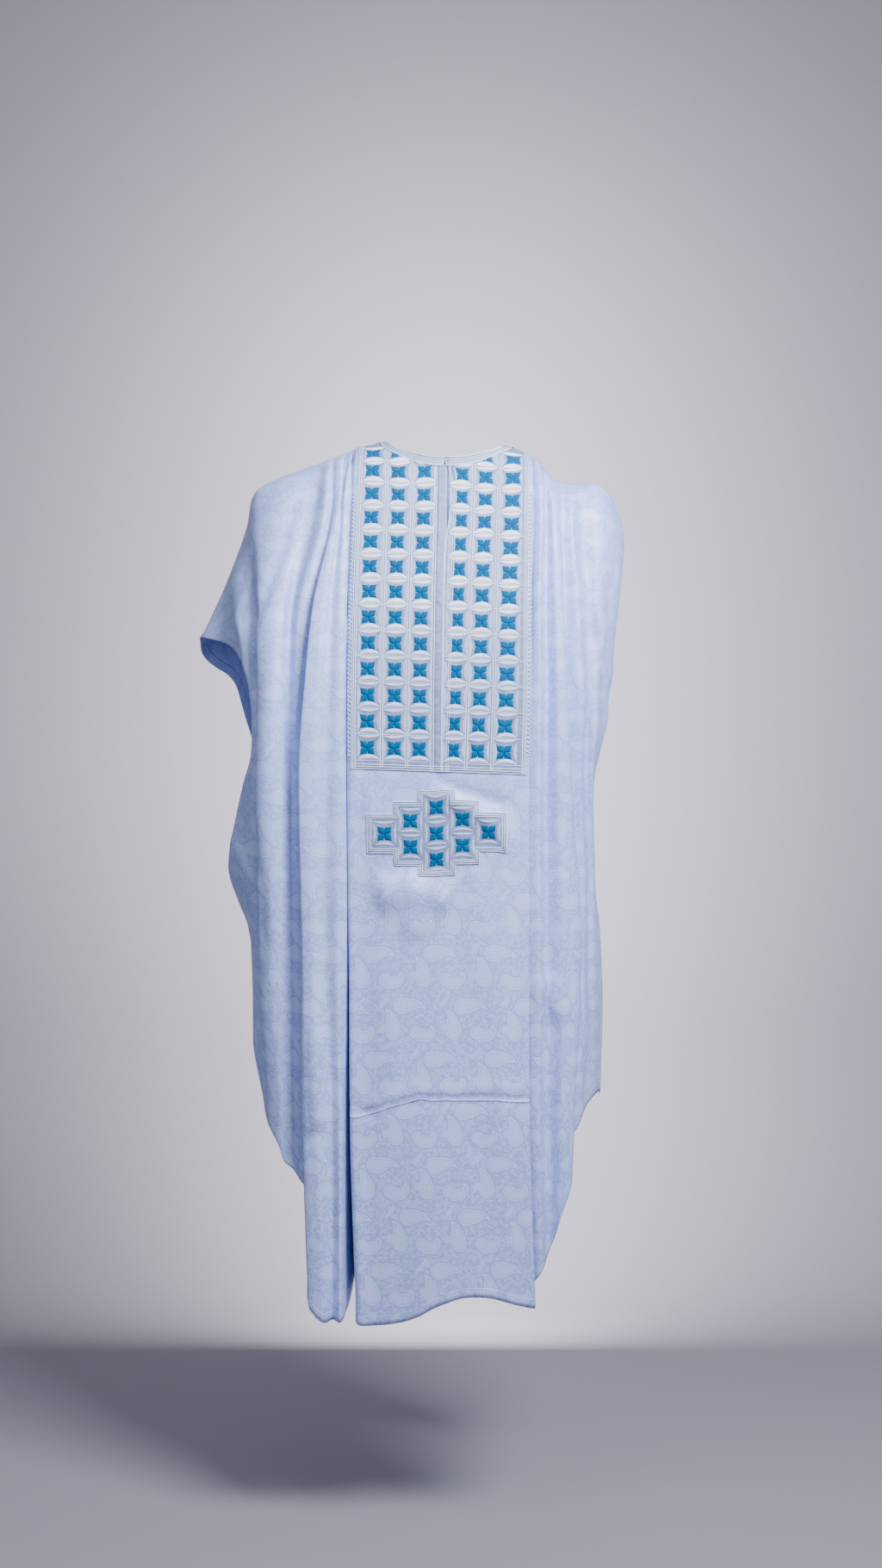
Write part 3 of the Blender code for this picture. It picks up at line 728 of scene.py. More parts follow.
def threadGroup():
    group, given, wanted = newGroup("satinThreads", (("Stitches", None), ("Pitch", 0.55)), ("Height", "Tone"))
    x, y = addSplit(group, given["Stitches"])
    turns = addMath(group, "DIVIDE", times(group, x, turnsPerMetre), given["Pitch"])
    group.links.new(addMath(group, "SINE", turns), wanted["Height"])
    long = addJoin(group, times(group, x, longThreads[0]), times(group, y, longThreads[1]))
    group.links.new(addNoise(group, long, 1.0, 2.0), wanted["Tone"])
    return group


paisleyFigure = paisleyGroup()
wovenThreads = weaveGroup()
stitchedHem = hemGroup()
pressedLine = pressedGroup()
satinThreads = threadGroup()


def newMaterial(name):
    material = bpy.data.materials.new(name)
    material.use_nodes = True
    tree = material.node_tree
    return material, tree, tree.nodes["Principled BSDF"]


def useGroup(tree, group, **links):
    node = tree.nodes.new("ShaderNodeGroup")
    node.node_tree = group
    for socket, value in links.items():
        if isinstance(value, (int, float)):
            node.inputs[socket].default_value = value
        else:
            tree.links.new(value, node.inputs[socket])
    return node.outputs


def uvPlace(tree, layer):
    node = tree.nodes.new("ShaderNodeUVMap")
    node.uv_map = layer
    return node.outputs[0]


def addMix(tree, factor, first, second):
    node = tree.nodes.new("ShaderNodeMix")
    node.data_type = "RGBA"
    tree.links.new(factor, node.inputs["Factor"])
    for socket, value in ((node.inputs[6], first), (node.inputs[7], second)):
        if isinstance(value, tuple):
            socket.default_value = (*value, 1.0)
        else:
            tree.links.new(value, socket)
    return node.outputs[2]


def objectPlace(tree):
    return tree.nodes.new("ShaderNodeTexCoord").outputs["Object"]


def heightOf(tree):  # metres above the shoulders
    split = tree.nodes.new("ShaderNodeSeparateXYZ")
    tree.links.new(objectPlace(tree), split.inputs[0])
    return split.outputs["Z"]


def addBump(tree, shader, height, relief=1.0):  # relief in millimetres
    node = tree.nodes.new("ShaderNodeBump")
    node.inputs["Distance"].default_value = relief * mm
    node.inputs["Strength"].default_value = 1.0
    tree.links.new(height, node.inputs["Height"])
    tree.links.new(node.outputs["Normal"], shader.inputs["Normal"])


damask = {
    # painted sheen: the figure is a real woven pattern, and its lighter colour here stands in for the sheen
    # of its satin floats
    "ground": (0.285, 0.370, 0.755),
    "figure": (0.505, 0.600, 0.975),
    "groundRoughness": 0.52,
    "figureRoughness": 0.36,
    "sheen": 0.12,
    "gloss": 0.22,
    "glossRoughness": 0.38,
    "sheenRoughness": 0.4,
    "paintedSheenFade": (-0.95, -0.45, 1.0, 0.66),  # painted sheen: the figure is fainter in the upper part, standing in for the sheen changing with the light's angle
    "detailTone": 0.26,
    "slubTone": 0.35,
    "hemStitchTone": 0.45,
    "weaveHeight": 0.022,    # millimetres, as are the four below
    "slubHeight": 0.05,
    "figureHeight": 0.09,
    "hemHeight": 0.8,
    "hemStitchHeight": -0.35,
}


def damaskMaterial(name, pressing):
    material, tree, shader = newMaterial(name)
    place = uvPlace(tree, "flat")
    figure = useGroup(tree, paisleyFigure, Cloth=place)
    weave = useGroup(tree, wovenThreads, Cloth=place)
    hem = useGroup(tree, stitchedHem, Edges=uvPlace(tree, "edges"), Cloth=place)
    # painted sheen: the figure's contrast fades toward the top by height
    strength = tree.nodes.new("ShaderNodeMapRange")
    tree.links.new(heightOf(tree), strength.inputs["Value"])
    setRange(strength, damask["paintedSheenFade"])
    # painted sheen: the figure's tone mixes the cloth toward the lighter figure colour in place of the
    # satin's own gloss
    tone = plus(tree, figure["Figure"], times(tree, figure["Detail"], damask["detailTone"]))
    tone = times(tree, tone, strength.outputs[0])
    tone = minus(tree, tone, times(tree, hem["Thread"], damask["hemStitchTone"]))
    tone = addMath(tree, "ADD", tone, times(tree, weave["Slub"], damask["slubTone"]), clamp=True)
    colour = addMix(tree, tone, damask["ground"], damask["figure"])
    tree.links.new(colour, shader.inputs["Base Color"])
    rough = tree.nodes.new("ShaderNodeMapRange")
    rough.inputs["To Min"].default_value = damask["groundRoughness"]
    rough.inputs["To Max"].default_value = damask["figureRoughness"]
    tree.links.new(figure["Figure"], rough.inputs["Value"])
    tree.links.new(rough.outputs[0], shader.inputs["Roughness"])
    shader.inputs["Coat Weight"].default_value = damask["gloss"]
    shader.inputs["Coat Roughness"].default_value = damask["glossRoughness"]
    shader.inputs["Sheen Weight"].default_value = damask["sheen"]
    shader.inputs["Sheen Roughness"].default_value = damask["sheenRoughness"]
    height = times(tree, weave["Height"], damask["weaveHeight"])
    for relief, part in ((weave["Slub"], "slubHeight"), (figure["Figure"], "figureHeight"),
                         (hem["Fold"], "hemHeight"), (hem["Thread"], "hemStitchHeight")):
        height = plus(tree, height, times(tree, relief, damask[part]))
    if pressing:
        line = useGroup(tree, pressedLine, Cloth=place, Amount=pressing)
        height = plus(tree, height, line["Height"])
    addBump(tree, shader, height)
    return material


paintedShadeBetween = (-0.34, -0.20)  # metres above the shoulders; the painted shade on the white satin fades out between them going up
puckerScale = 85.0


def threadMaterial(name, colour, shade, roughness, pitch, relief, low=None, gloss=0.5, pucker=0.0):
    material, tree, shader = newMaterial(name)
    threads = useGroup(tree, satinThreads, Stitches=uvPlace(tree, "flat"), Pitch=pitch)
    mixed = addMix(tree, threads["Tone"], shade, colour)
    if low:  # painted shade: the thread is greyer low on the chest, standing in for the overhead light's gloss reaching only the upper rows
        mixed = addMix(tree, addSmooth(tree, heightOf(tree), *paintedShadeBetween), low, mixed)
    tree.links.new(mixed, shader.inputs["Base Color"])
    shader.inputs["Roughness"].default_value = roughness
    shader.inputs["Specular IOR Level"].default_value = gloss
    height = times(tree, threads["Height"], relief)
    if pucker:  # the cloth draws in between the stitches
        drawn = addNoise(tree, objectPlace(tree), puckerScale, 2.0)
        height = plus(tree, height, times(tree, drawn, pucker))
    addBump(tree, shader, height)
    return material


def cordMaterial(name, colour, roughness, twist, relief):
    material, tree, shader = newMaterial(name)
    shader.inputs["Base Color"].default_value = (*colour, 1.0)
    shader.inputs["Roughness"].default_value = roughness
    strands = tree.nodes.new("ShaderNodeTexWave")
    strands.bands_direction = "DIAGONAL"
    strands.inputs["Scale"].default_value = twist
    tree.links.new(objectPlace(tree), strands.inputs["Vector"])
    addBump(tree, shader, strands.outputs["Fac"], relief)
    return material


wingDamask = damaskMaterial("wingDamask", pressing=0.0)
panelDamask = damaskMaterial("panelDamask", pressing=0.75)
groundThread = threadMaterial("embroideryGround", colour=(0.235, 0.29, 0.475), shade=(0.165, 0.215, 0.40),
                              roughness=0.40, pitch=0.7, relief=0.06, pucker=2.6)
# painted shade: the white satin's colour turns greyer low on the chest
satinThread = threadMaterial("satinWhite", colour=(0.90, 0.93, 0.97), shade=(0.76, 0.82, 0.93),
                             low=(0.50, 0.58, 0.80), roughness=0.2, pitch=0.5, relief=0.05, gloss=0.7,
                             pucker=1.2)
# painted shade: a darker copy of the white satin, for stitches that catch less of the light
shadedSatinThread = threadMaterial("satinPaintedShade", colour=(0.40, 0.47, 0.70), shade=(0.32, 0.39, 0.63),
                            roughness=0.30, pitch=0.5, relief=0.05, pucker=1.8)
starThread = threadMaterial("starBlue", colour=(0.0, 0.13, 0.30), shade=(0.0, 0.085, 0.215),
                            roughness=0.7, pitch=0.5, relief=0.08, gloss=0.04)
cordThread = cordMaterial("cordWhite", colour=(0.66, 0.74, 0.92), roughness=0.28, twist=330.0, relief=0.18)
print("materials")

# A cuff's rows are the drop, x and depth of its edge, and the side seam begins where the depth is 0.
rightWing = {
    "spanSteps": 9,
    "folds": (
        foldRow("cuffRoll", -318, 189, 60, -305, -305, -276, -268, -268, -270, -270, 0, -6, 0, 0, 852, 848),
        foldRow("underFirst", -287, 106, 60, -280, -268, -244, -240, -242, -260, -260,
                -4, -12, -12, 4, 905, 900),
        foldRow("firstEdge", -272, 52, 58, -264, -262, -262, -262, -261, -248, -246,
                4, 14, 16, 10, 944, 940),
        foldRow("firstBody", -239, 34, 56, -238, -240, -241, -240, -237, -230, -234,
                6, 18, 18, 10, 976, 985),
        foldRow("firstSlope", -212, 24, 55, -214, -226, -229, -228, -226, -224, -222,
                2, 10, 12, 8, 995, 1006),
        foldRow("firstValley", -176, 11, 54, -188, -213, -218, -216, -214, -212, -210,
                -6, -6, -2, 0, 1006, 1030),
        foldRow("firstRidge", -167, 8, 54, -169, -203, -208, -206, -204, -200, -198,
                4, -1, -4, -4, 1024, 1060),
        foldRow("underSecond", -160, 5, 54, -162, -178, -178, -180, -181, -177, -173,
                -2, -8, -11, -4, 1042, 1150),
        foldRow("secondEdge", -154, 3, 54, -157, -183, -195, -202, -196, -190, -177,
                4, 18, 21, 24, 1201, 1212),
        foldRow("secondBody", -149, 1, 54, -152, -170, -178, -185, -184, -177, -167,
                5, 16, 20, 22, 1207, 1222),
        foldRow("thirdValley", -144, -1, 54, -148, -157, -160, -163, -165, -156, -155,
                0, 6, 8, 8, 1205, 1222),
        foldRow("thirdCrest", -139, -3, 54, -142.5, -148, -149, -150, -148, -146, -146,
                3, 7, 9, 14, 1207, 1214),
        foldRow("thirdSide", -135.5, -5, 54, -138, -140.5, -141.5, -141, -139, -138, -136.5,
                1, 4, 3, -16, 1195, 1214),
        foldRow("seam", -132.85, -6, 54, -134.5, -136.5, -137.5, -137, -135, -133, -126.5,
                -2, -2, -7, -80, 1160, 1196),
    ),
    "cuffTop": (-355, 263, 56),
    "cuffFront": (
        (263, -352, 32), (273, -315, 46), (295, -291, 56), (321, -275, 63), (347, -268, 68),
        (367, -265, 71), (395, -266, 73), (422, -271, 74), (446, -277, 75), (476, -286, 74),
        (552, -302, 68), (596, -307, 58), (648, -293, 34), (674, -284, 14), (694, -278, 0),
        (815, -277, 0),
    ),
    "cuffBack": (
        (263, -355, 30), (284, -355, 42), (300, -342, 48), (314, -320, 54), (330, -308, 58),
        (354, -301, 62), (376, -295, 66), (414, -284, 70), (476, -278, 72), (552, -284, 66),
        (596, -290, 56), (648, -286, 32), (674, -281, 14), (694, -278, 0), (815, -277, 0),
    ),
}

leftWing = {
    "spanSteps": 9,
    "folds": (
        foldRow("seam", 124.15, 5, 54, 123, 119, 114, 109, 107, 107, 113, -4, -5, -6, -18, 1176, 1196),
        foldRow("firstSide", 127, 5, 54, 127, 121.5, 118, 114, 113, 113, 119, 1, -1, -2, -8, 1160, 1200),
        foldRow("firstCrest", 131, 6, 54, 132, 128, 129, 127, 127, 127, 131, 4, 6, 6, 2, 1143, 1196),
        foldRow("firstValley", 138, 16, 54, 140, 138, 139, 138, 138, 139, 141, -3, -7, -8, -7, 1120, 1180),
        foldRow("secondCrest", 147, 28, 54, 149, 152, 154, 155, 160, 158, 154, 4, 8, 11, 10, 1073, 1150),
        foldRow("secondEdge", 157, 37, 54, 156, 162, 167, 174, 187, 176, 168, 3, 7, 11, 10, 1009, 1090),
        foldRow("underSecond", 164, 40, 54, 162, 163, 162, 166, 176, 166, 160, -4, -9, -11, -8, 985, 1040),
        foldRow("thirdCrest", 174, 42, 54, 176, 184, 188, 190, 194, 186, 180, 3, 2, 0, -6, 944, 985),
        foldRow("thirdValley", 191, 43, 56, 190, 197, 198, 197, 200, 196, 196, -4, -6, -6, -8, 922, 945),
        foldRow("capFront", 220, 44, 58, 212, 212, 210, 204, 208, 206, 206, 2, 4, -2, -4, 910, 920),
        foldRow("capOuter", 251, 94, 60, 232, 230, 222, 207, 213, 212, 212, 2, 2, -4, -6, 906, 908),
    ),
    "cuffTop": (242, 229, 58),
    "cuffFront": (
        (229, 241, 34), (268, 236, 48), (316, 234, 58), (383, 229, 66), (426, 217, 70), (468, 209, 72),
        (534, 202, 70), (583, 199, 60), (627, 200, 38), (653, 208, 14), (674, 216, 0), (749, 224, 0),
        (831, 225, 0), (918, 221, 0),
    ),
    "cuffBack": (
        (229, 241, 34), (270, 237, 50), (318, 233, 60), (384, 225, 68), (468, 215, 74), (534, 209, 70),
        (583, 205, 58), (627, 206, 36), (653, 211, 14), (674, 216, 0), (749, 224, 0), (831, 225, 0),
        (918, 221, 0),
    ),
}


def wingSides(wing, cuffFirst):
    sides = []
    for side, edges in ((front, wing["cuffFront"]), (back, wing["cuffBack"])):
        folds = [foldColumn(fold, side) for fold in wing["folds"]]
        cuff = [cuffColumn(wing["cuffTop"], edges, side, wing["cuffFront"])]
        sides.append(creased(spread(cuff + folds if cuffFirst else folds + cuff, wing["spanSteps"]), side))
    return sides


def makeWing(name, wing, cuffFirst):
    frontSide, backSide = wingSides(wing, cuffFirst)
    columns = [list(reversed(before)) + behind[1:] for before, behind in zip(frontSide, backSide)]
    columns.reverse()
    frontRows = len(frontSide[0])
    cuffAt = len(columns) - 1 if cuffFirst else 0
    seamAt = 0 if cuffFirst else len(columns) - 1
    seamFrom = seamStart(wing["cuffFront"])
    for row in range(frontRows - 1):  # front and back edges meet on the side seam
        mirror = 2 * (frontRows - 1) - row
        if -columns[cuffAt][row].z >= seamFrom - 1:
            middlePoint = (columns[cuffAt][row] + columns[cuffAt][mirror]) / 2
            columns[cuffAt][row] = middlePoint
            columns[cuffAt][mirror] = middlePoint.copy()
    flat = flatPlaces(columns, seamAt, cloth["skirtSteps"])
    edges = edgePlaces(columns, cuffAt)
    mesh = clothMesh(name, columns, flat, edges, weld=lambda cell: cell[0] == cuffAt)
    print(name, "cloth area", round(areaOf(mesh), 3))
    return addPiece(name, mesh, wingDamask, cloth["wall"])


lastCell = 1.001  # keeps a place inside the last column or row


def atShare(columns, share):
    base = middle["spanSteps"] * (len(middle["leftTurn"]) + share * (len(middle["frontHems"]) + 1))
    return min(max(base, 0.0), len(columns) - lastCell)


slit = {
    "share": 0.5045,         # of the panel's width, at the neck and at the slit's foot
    "lowShare": 0.5165,
    "end": 128.0,
    "close": 46.0,
    "half": 3.0,
    "leastHalf": 0.15,
    "taperFrom": 0.6,
    "columns": (65, 66),
}


def openSlit(columns):  # draws two columns to the edges of the neck slit
    result = [list(points) for points in columns]
    before, after = slit["columns"]
    for row in range(len(columns[0])):
        drop = -columns[before][row].z
        closing = ease(0, slit["end"], drop)
        share = slit["share"] + (slit["lowShare"] - slit["share"]) * closing
        taper = ease(slit["taperFrom"] * slit["end"], slit["end"], drop)
        half = slit["half"] * (1 - taper) + slit["leastHalf"]
        free = ease(slit["end"], slit["end"] + slit["close"], drop)
        width = (columns[after][row] - columns[before][row]).length
        for column, side in ((before, -1), (after, 1)):
            wanted = atShare(columns, share) + side * half / max(width, 0.1)
            wanted += (column - wanted) * free
            index = int(wanted)
            result[column][row] = columns[index][row].lerp(columns[index + 1][row], wanted - index)
    return result


def panelColumns(hems, outs, side):
    half = cloth["shoulderSeamHalf"]
    base = [foldColumn(rightWing["folds"][-1], side, cloth["seamGap"], half)]
    base += [foldColumn(fold, side, 0, half) for fold in middle["leftTurn"]]
    base += middleColumns(hems, outs, side)
    base += [foldColumn(fold, side, 0, half) for fold in middle["rightTurn"]]
    base += [foldColumn(leftWing["folds"][0], side, -cloth["seamGap"], half)]
    columns = creased(spread(base, middle["spanSteps"]), side)
    for points in columns:
        for point in points:
            point.y = side * max(side * point.y, half)
    return columns


frontColumns = openSlit(panelColumns(middle["frontHems"], [0] * len(middle["frontHems"]), front))
backColumns = panelColumns(middle["backHems"], middle["backOuts"], back)
backColumns.reverse()

besideNeck = (len(middle["frontHems"]) - middle["neckColumns"]) // 2
neckFirst = middle["spanSteps"] * (1 + len(middle["leftTurn"]) + besideNeck)
neckLast = neckFirst + middle["spanSteps"] * (middle["neckColumns"] - 1)
neckRing = [points[0] for points in backColumns[neckFirst:neckLast] + frontColumns[neckFirst:neckLast]]
neckTree = KDTree(len(neckRing))
for number, point in enumerate(neckRing):
    neckTree.insert(point, number)
neckTree.balance()

neckline = {
    "lines": (0.6, 4, 7.5, 11, 14.4),  # distances from the neck edge
    "lift": 0.4,
    "wall": 0.9,
    "reach": 13.6,
    "cords": (1.2, 4.6, 8.2, 11.6, 13.8),
    "cordRadius": 0.85,
    "cordLift": 0.2,
    "pitch": 5.0,
}


def upperSurface(sheets, rows):
    points = []
    quads = []
    for columns in sheets:
        first = len(points)
        for column in columns:
            points.extend(column[:rows])
        for column in range(len(columns) - 1):
            for row in range(rows - 1):
                corner = first + column * rows + row
                quads.append((corner, corner + 1, corner + rows + 1, corner + rows))
    return BVHTree.FromPolygons(points, quads)


shoulders = upperSurface((frontColumns, backColumns), 2 * cloth["capSteps"])
neckLines = []  # from each place on the neck edge, a place and a normal every millimetre down the cloth
for number, start in enumerate(neckRing):
    along = neckRing[(number + 1) % len(neckRing)] - neckRing[number - 1]
    point = start
    line = []
    for _ in range(math.ceil(neckline["lines"][-1]) + 2):
        place, normal, _, _ = shoulders.find_nearest(point)
        line.append((place, normal))
        point = place + along.cross(normal).normalized()
    neckLines.append(line)


def neckPoint(number, width, lift):
    line = neckLines[number % len(neckLines)]
    step = int(width)
    return line[step][0].lerp(line[step + 1][0], width - step) + line[step][1] * lift


def underNeckband(point):
    return neckTree.find(point)[2] < neckline["reach"]


frontNormals = normalsOf(frontColumns)
chestRow = cloth["capSteps"] + cloth["chestSteps"]
frontHeights = []
for points in frontColumns:
    lengths = lengthsAlong(points)
    frontHeights.append([lengths[chestRow] - length for length in lengths])


chest = {
    "lowShare": (0.012, 0.462, 0.536, 0.984),  # outer right, strip, strip, outer left at the lowest stars
    "topShare": (0.018, 0.458, 0.562, 0.982),
    "bottom": 3.0,
    "sagLow": 8.4,           # how far the rows drop toward the left, low and high on the chest
    "sagTop": 14.0,
    "sagHeight": 420.0,
    "starsTop": 440.0,
    "firstRow": 33.0,
    "rowStep": 36.2,
    "rows": 13,
    "groundLift": 0.2,
    "groundWall": 0.6,
    "step": 5.0,
    "top": 545.0,
}
starColumn = namedtuple("starColumn", "low top starHalf lensLow lensTop")
starColumns = (  # places as shares of the panel's width, sizes in millimetres
    starColumn(0.105, 0.104, 9.8, 0.112, 0.112),
    starColumn(0.254, 0.252, 9.0, 0.252, 0.256),
    starColumn(0.391, 0.396, 9.0, 0.390, 0.402),
    starColumn(0.581, 0.612, 7.8, 0.580, 0.604),
    starColumn(0.714, 0.740, 8.8, 0.714, 0.736),
    starColumn(0.859, 0.892, 10.2, 0.868, 0.884),
)


def rowAtHeight(column, height):
    heights = frontHeights[column]
    low, high = 0, len(heights) - 1
    if height >= heights[0]:
        return 0.0
    while high - low > 1:
        halfWay = (low + high) // 2
        if heights[halfWay] > height:
            low = halfWay
        else:
            high = halfWay
    return low + (heights[low] - height) / (heights[low] - heights[high])


def frontAt(at, height):
    places = []
    for column in (int(at), int(at) + 1):
        row = min(rowAtHeight(column, height), len(frontColumns[0]) - lastCell)
        index = int(row)
        place = frontColumns[column][index].lerp(frontColumns[column][index + 1], row - index)
        normal = frontNormals[column][index].lerp(frontNormals[column][index + 1], row - index)
        places.append((place, normal))
    part = at - int(at)
    return places[0][0].lerp(places[1][0], part), places[0][1].lerp(places[1][1], part).normalized()


search = {"steps": 5, "damping": 0.62, "inset": 0.05}


def onFront(share, height, lift=0.0):  # a point on the front, by share of its width and by height
    at = atShare(frontColumns, share)
    step = middle["spanSteps"] * (len(middle["frontHems"]) + 1)
    for _ in range(search["steps"]):
        place, normal = frontAt(at, height)
        drop = -place.z
        start = foldX(middle["leftTurn"][-1], drop, front)
        width = foldX(middle["rightTurn"][0], drop, front) - start
        at += search["damping"] * (share - (place.x - start) / width) * step
        at = min(max(at, 0.0), len(frontColumns) - lastCell)
    place, normal = frontAt(at, height)
    return place + normal * lift


def widthAt(height):
    inset = search["inset"]
    return (onFront(1 - inset, height) - onFront(inset, height)).length / (1 - 2 * inset)


def sagAt(share, height):
    high = chest["sagTop"] * share * share
    low = chest["sagLow"] * share
    return low + (high - low) * min(max(height / chest["sagHeight"], 0.0), 1.0)


def offFront(share, height, right, up, lift=0.0):  # a point a few millimetres right of and above another
    return onFront(share + right / widthAt(height), height + up, lift)


def addPatch(work, layer, place, lengthSteps, widthSteps, length, width):
    made = bmesh.ops.create_grid(work, x_segments=lengthSteps, y_segments=widthSteps, size=0.5)
    for vertex in made["verts"]:
        t = vertex.co.x + 0.5
        s = vertex.co.y + 0.5
        vertex.co = place(t, s) * mm
        for loop in vertex.link_loops:
            loop[layer].uv = (t * length * mm, s * width * mm)


star = {
    "heightHalf": 9.2,
    "inner": 0.03,
    "power": 0.84,           # below 1 the petals are hollow between their points
    "notch": 0.2,
    "notchEnds": (0.1, 0.5),
    "reach": 1.07,
    "rise": 0.2,
    "dome": 1.0,
    "roundness": 0.6,
    "tip": 6,
    "lengthSteps": 9,
    "widthSteps": 4,
}
lens = {
    "half": 15.6,
    "riseUp": 8.0,
    "riseDown": 5.8,
    "sideRise": 5.4,
    "dome": 1.9,
    "topDome": 0.8,          # share of the dome for the lens above a star
    "sideDome": 0.45,
    "sink": 0.3,
    "fullness": 0.85,
    "roundness": (0.7, 0.5),
    "gap": 0.9,
    "sideGap": 0.4,
    "sideShort": 0.6,
    "lengthSteps": 12,
    "widthSteps": 4,
}
cordWork = {
    "radius": 0.72,
    "rowRadius": 0.5,
    "lift": 1.0,
    "step": 4.0,
    "least": 1.0,
    "pair": 1.5,
    "pairFrom": 6.0,
    "foot": (0.6, 3.6, 7.0),
    "rowInset": 0.022,
    "picot": 3.4,
    "picotStep": 6.2,
    "picotPoints": 6,
    "picotRange": (20.0, 380.0),  # where the scalloped edge starts and how far up it goes
    "picotAside": 0.4,
    "picotLift": 0.8,
}


def addLens(work, layer, share, height, base, toward, half, rise, dome):
    along = (toward[1], -toward[0])

    def place(t, s):
        offset = 2 * t - 1
        swell = max(1 - offset * offset, 0.0)
        across = s * rise * swell ** lens["fullness"]
        roundS, roundT = lens["roundness"]
        lift = cordWork["lift"] - lens["sink"] + dome * math.sin(math.pi * s) ** roundS * swell ** roundT
        right = base[0] + along[0] * offset * half + toward[0] * across
        up = base[1] + along[1] * offset * half + toward[1] * across
        return offFront(share, height, right, up, lift)

    addPatch(work, layer, place, lens["lengthSteps"], lens["widthSteps"], 2 * half, rise)


def addStar(work, layer, share, height, half):  # four petals that point to the corners
    power = star["power"]
    reach = math.sqrt(2) * star["reach"]
    for right, up in ((1, 1), (-1, 1), (-1, -1), (1, -1)):

        def place(t, s):
            along = star["inner"] + t * (reach - star["inner"])
            point = reach * max(1 - (along / reach) ** power, 0.0) ** (1 / power)
            wide = min(along * (1 - star["notch"] * ease(*star["notchEnds"], t)), point)
            aside = (2 * s - 1) * wide
            swell = math.cos(math.pi * (s - 0.5)) ** star["roundness"] * (1 - t ** star["tip"])
            lift = cordWork["lift"] + star["rise"] + star["dome"] * swell
            x = (right * along - up * aside) / math.sqrt(2)
            y = (up * along + right * aside) / math.sqrt(2)
            return offFront(share, height, x * half, y * star["heightHalf"], lift)

        long = reach * star["heightHalf"]
        addPatch(work, layer, place, star["lengthSteps"], star["widthSteps"], long, long / 2)


hair = 0.01 * mm  # points nearer than this are one


def newWork():
    work = bmesh.new()
    return work, work.loops.layers.uv.new("flat")


def closeWork(name, work, material, thickness=0.0):
    hidden = [face for face in work.faces if underNeckband(face.calc_center_median() / mm)]
    bmesh.ops.delete(work, geom=hidden, context="FACES")
    bmesh.ops.dissolve_degenerate(work, edges=work.edges, dist=hair)
    mesh = bpy.data.meshes.new(name)
    work.to_mesh(mesh)
    work.free()
    return addPiece(name, mesh, material, thickness, offset=1.0)


def rowsOf(column):  # every star of a column with its share and height
    for index in range(chest["rows"]):
        part = index / (chest["rows"] - 1)
        share = column.low + (column.top - column.low) * part
        height = chest["firstRow"] + chest["rowStep"] * index
        yield index, share, height - sagAt(share, height)


def heightShare(height):  # 0 at the foot of the embroidery and 1 at its highest stars
    return min(max(height / chest["starsTop"], 0.0), 1.0)


def straight(number):  # one edge of the embroidery's bands
    def shareAt(height):
        low = chest["lowShare"][number]
        return low + (chest["topShare"][number] - low) * heightShare(height)

    return shareAt


def slitEdge(side):
    def shareAt(height):
        shares = []
        for column in slit["columns"]:
            place, _ = frontAt(column, height)
            start = foldX(middle["leftTurn"][-1], -place.z, front)
            width = foldX(middle["rightTurn"][0], -place.z, front) - start
            shares.append((place.x - start) / width)
        half = (shares[1] - shares[0]) / 2 if -place.z < slit["end"] else 0.0
        return (shares[0] + shares[1]) / 2 + side * half

    return shareAt


def sagged(share, height):
    return height - chest["sagLow"] * share * (1 - heightShare(height))


def groundGrid(name, first, last):
    work, layer = newWork()
    wide = widthAt(0) * (last(0) - first(0))
    tall = chest["top"] - chest["bottom"]

    def place(t, s):
        height = chest["bottom"] + tall * s
        share = first(height) + (last(height) - first(height)) * t
        return onFront(share, sagged(share, height), chest["groundLift"])

    addPatch(work, layer, place, max(int(wide / chest["step"]), 2), int(tall / chest["step"]), wide, tall)
    return closeWork(name, work, groundThread, chest["groundWall"])


rightGround = groundGrid("chestGroundRight", straight(0), straight(1))
leftGround = groundGrid("chestGroundLeft", straight(2), straight(3))
stripRight = groundGrid("slitStripRight", straight(1), slitEdge(-1))
stripLeft = groundGrid("slitStripLeft", slitEdge(1), straight(2))
print("embroidery grounds")


def cellBorders(left, right):  # the shares between two neighbouring columns of stars
    return (left.lensLow + right.lensLow) / 2, (left.lensTop + right.lensTop) / 2


chestStars, starLayer = newWork()
chestLenses, lensLayer = newWork()
sideLenses, sideLayer = newWork()
for column in starColumns:
    for index, share, height in rowsOf(column):
        addStar(chestStars, starLayer, share, height, column.starHalf)
        lensShare = column.lensLow + (column.lensTop - column.lensLow) * index / (chest["rows"] - 1)
        half = chest["rowStep"] / 2 - lens["gap"]
        addLens(chestLenses, lensLayer, lensShare, height, (0, -half), (0, 1),
                lens["half"], lens["riseUp"], lens["dome"])
        addLens(chestLenses, lensLayer, lensShare, height, (0, half), (0, -1),
                lens["half"], lens["riseDown"], lens["dome"] * lens["topDome"])
        for side in (-1, 1):
            base = (side * (lens["half"] + lens["sideGap"]), 0)
            addLens(sideLenses, sideLayer, lensShare, height, base, (-side, 0),
                    lens["half"] - lens["sideShort"], lens["sideRise"], lens["sideDome"])
starPiece = closeWork("chestStars", chestStars, starThread)
lensPiece = closeWork("chestSatin", chestLenses, satinThread)
# the side stitches take the painted-shade copy of the white satin
sidePiece = closeWork("chestSideSatin", sideLenses, shadedSatinThread)
print("chest stars and satin stitches")

lozenge = {
    "share": 0.487,
    "up": -86.0,
    "middleStars": 3,
    "columnStep": 35.6,
    "rowStep": 35.6,
    "outline": ((25.0, 58.5), (58.0, 43.6), (95.0, 26.4)),  # half width and half height of each step
    "insets": (0.0, 2.6, 5.2),
    "starHalf": 9.4,
    "lensHalf": 14.8,
    "lensDome": 1.2,
    "sideBase": 16.2,
    "sideHalf": 14.6,
    "sideRise": 4.6,
    "sideDome": 0.7,
    "gridSteps": (76, 46),
    "edgeRoom": 0.5,
}

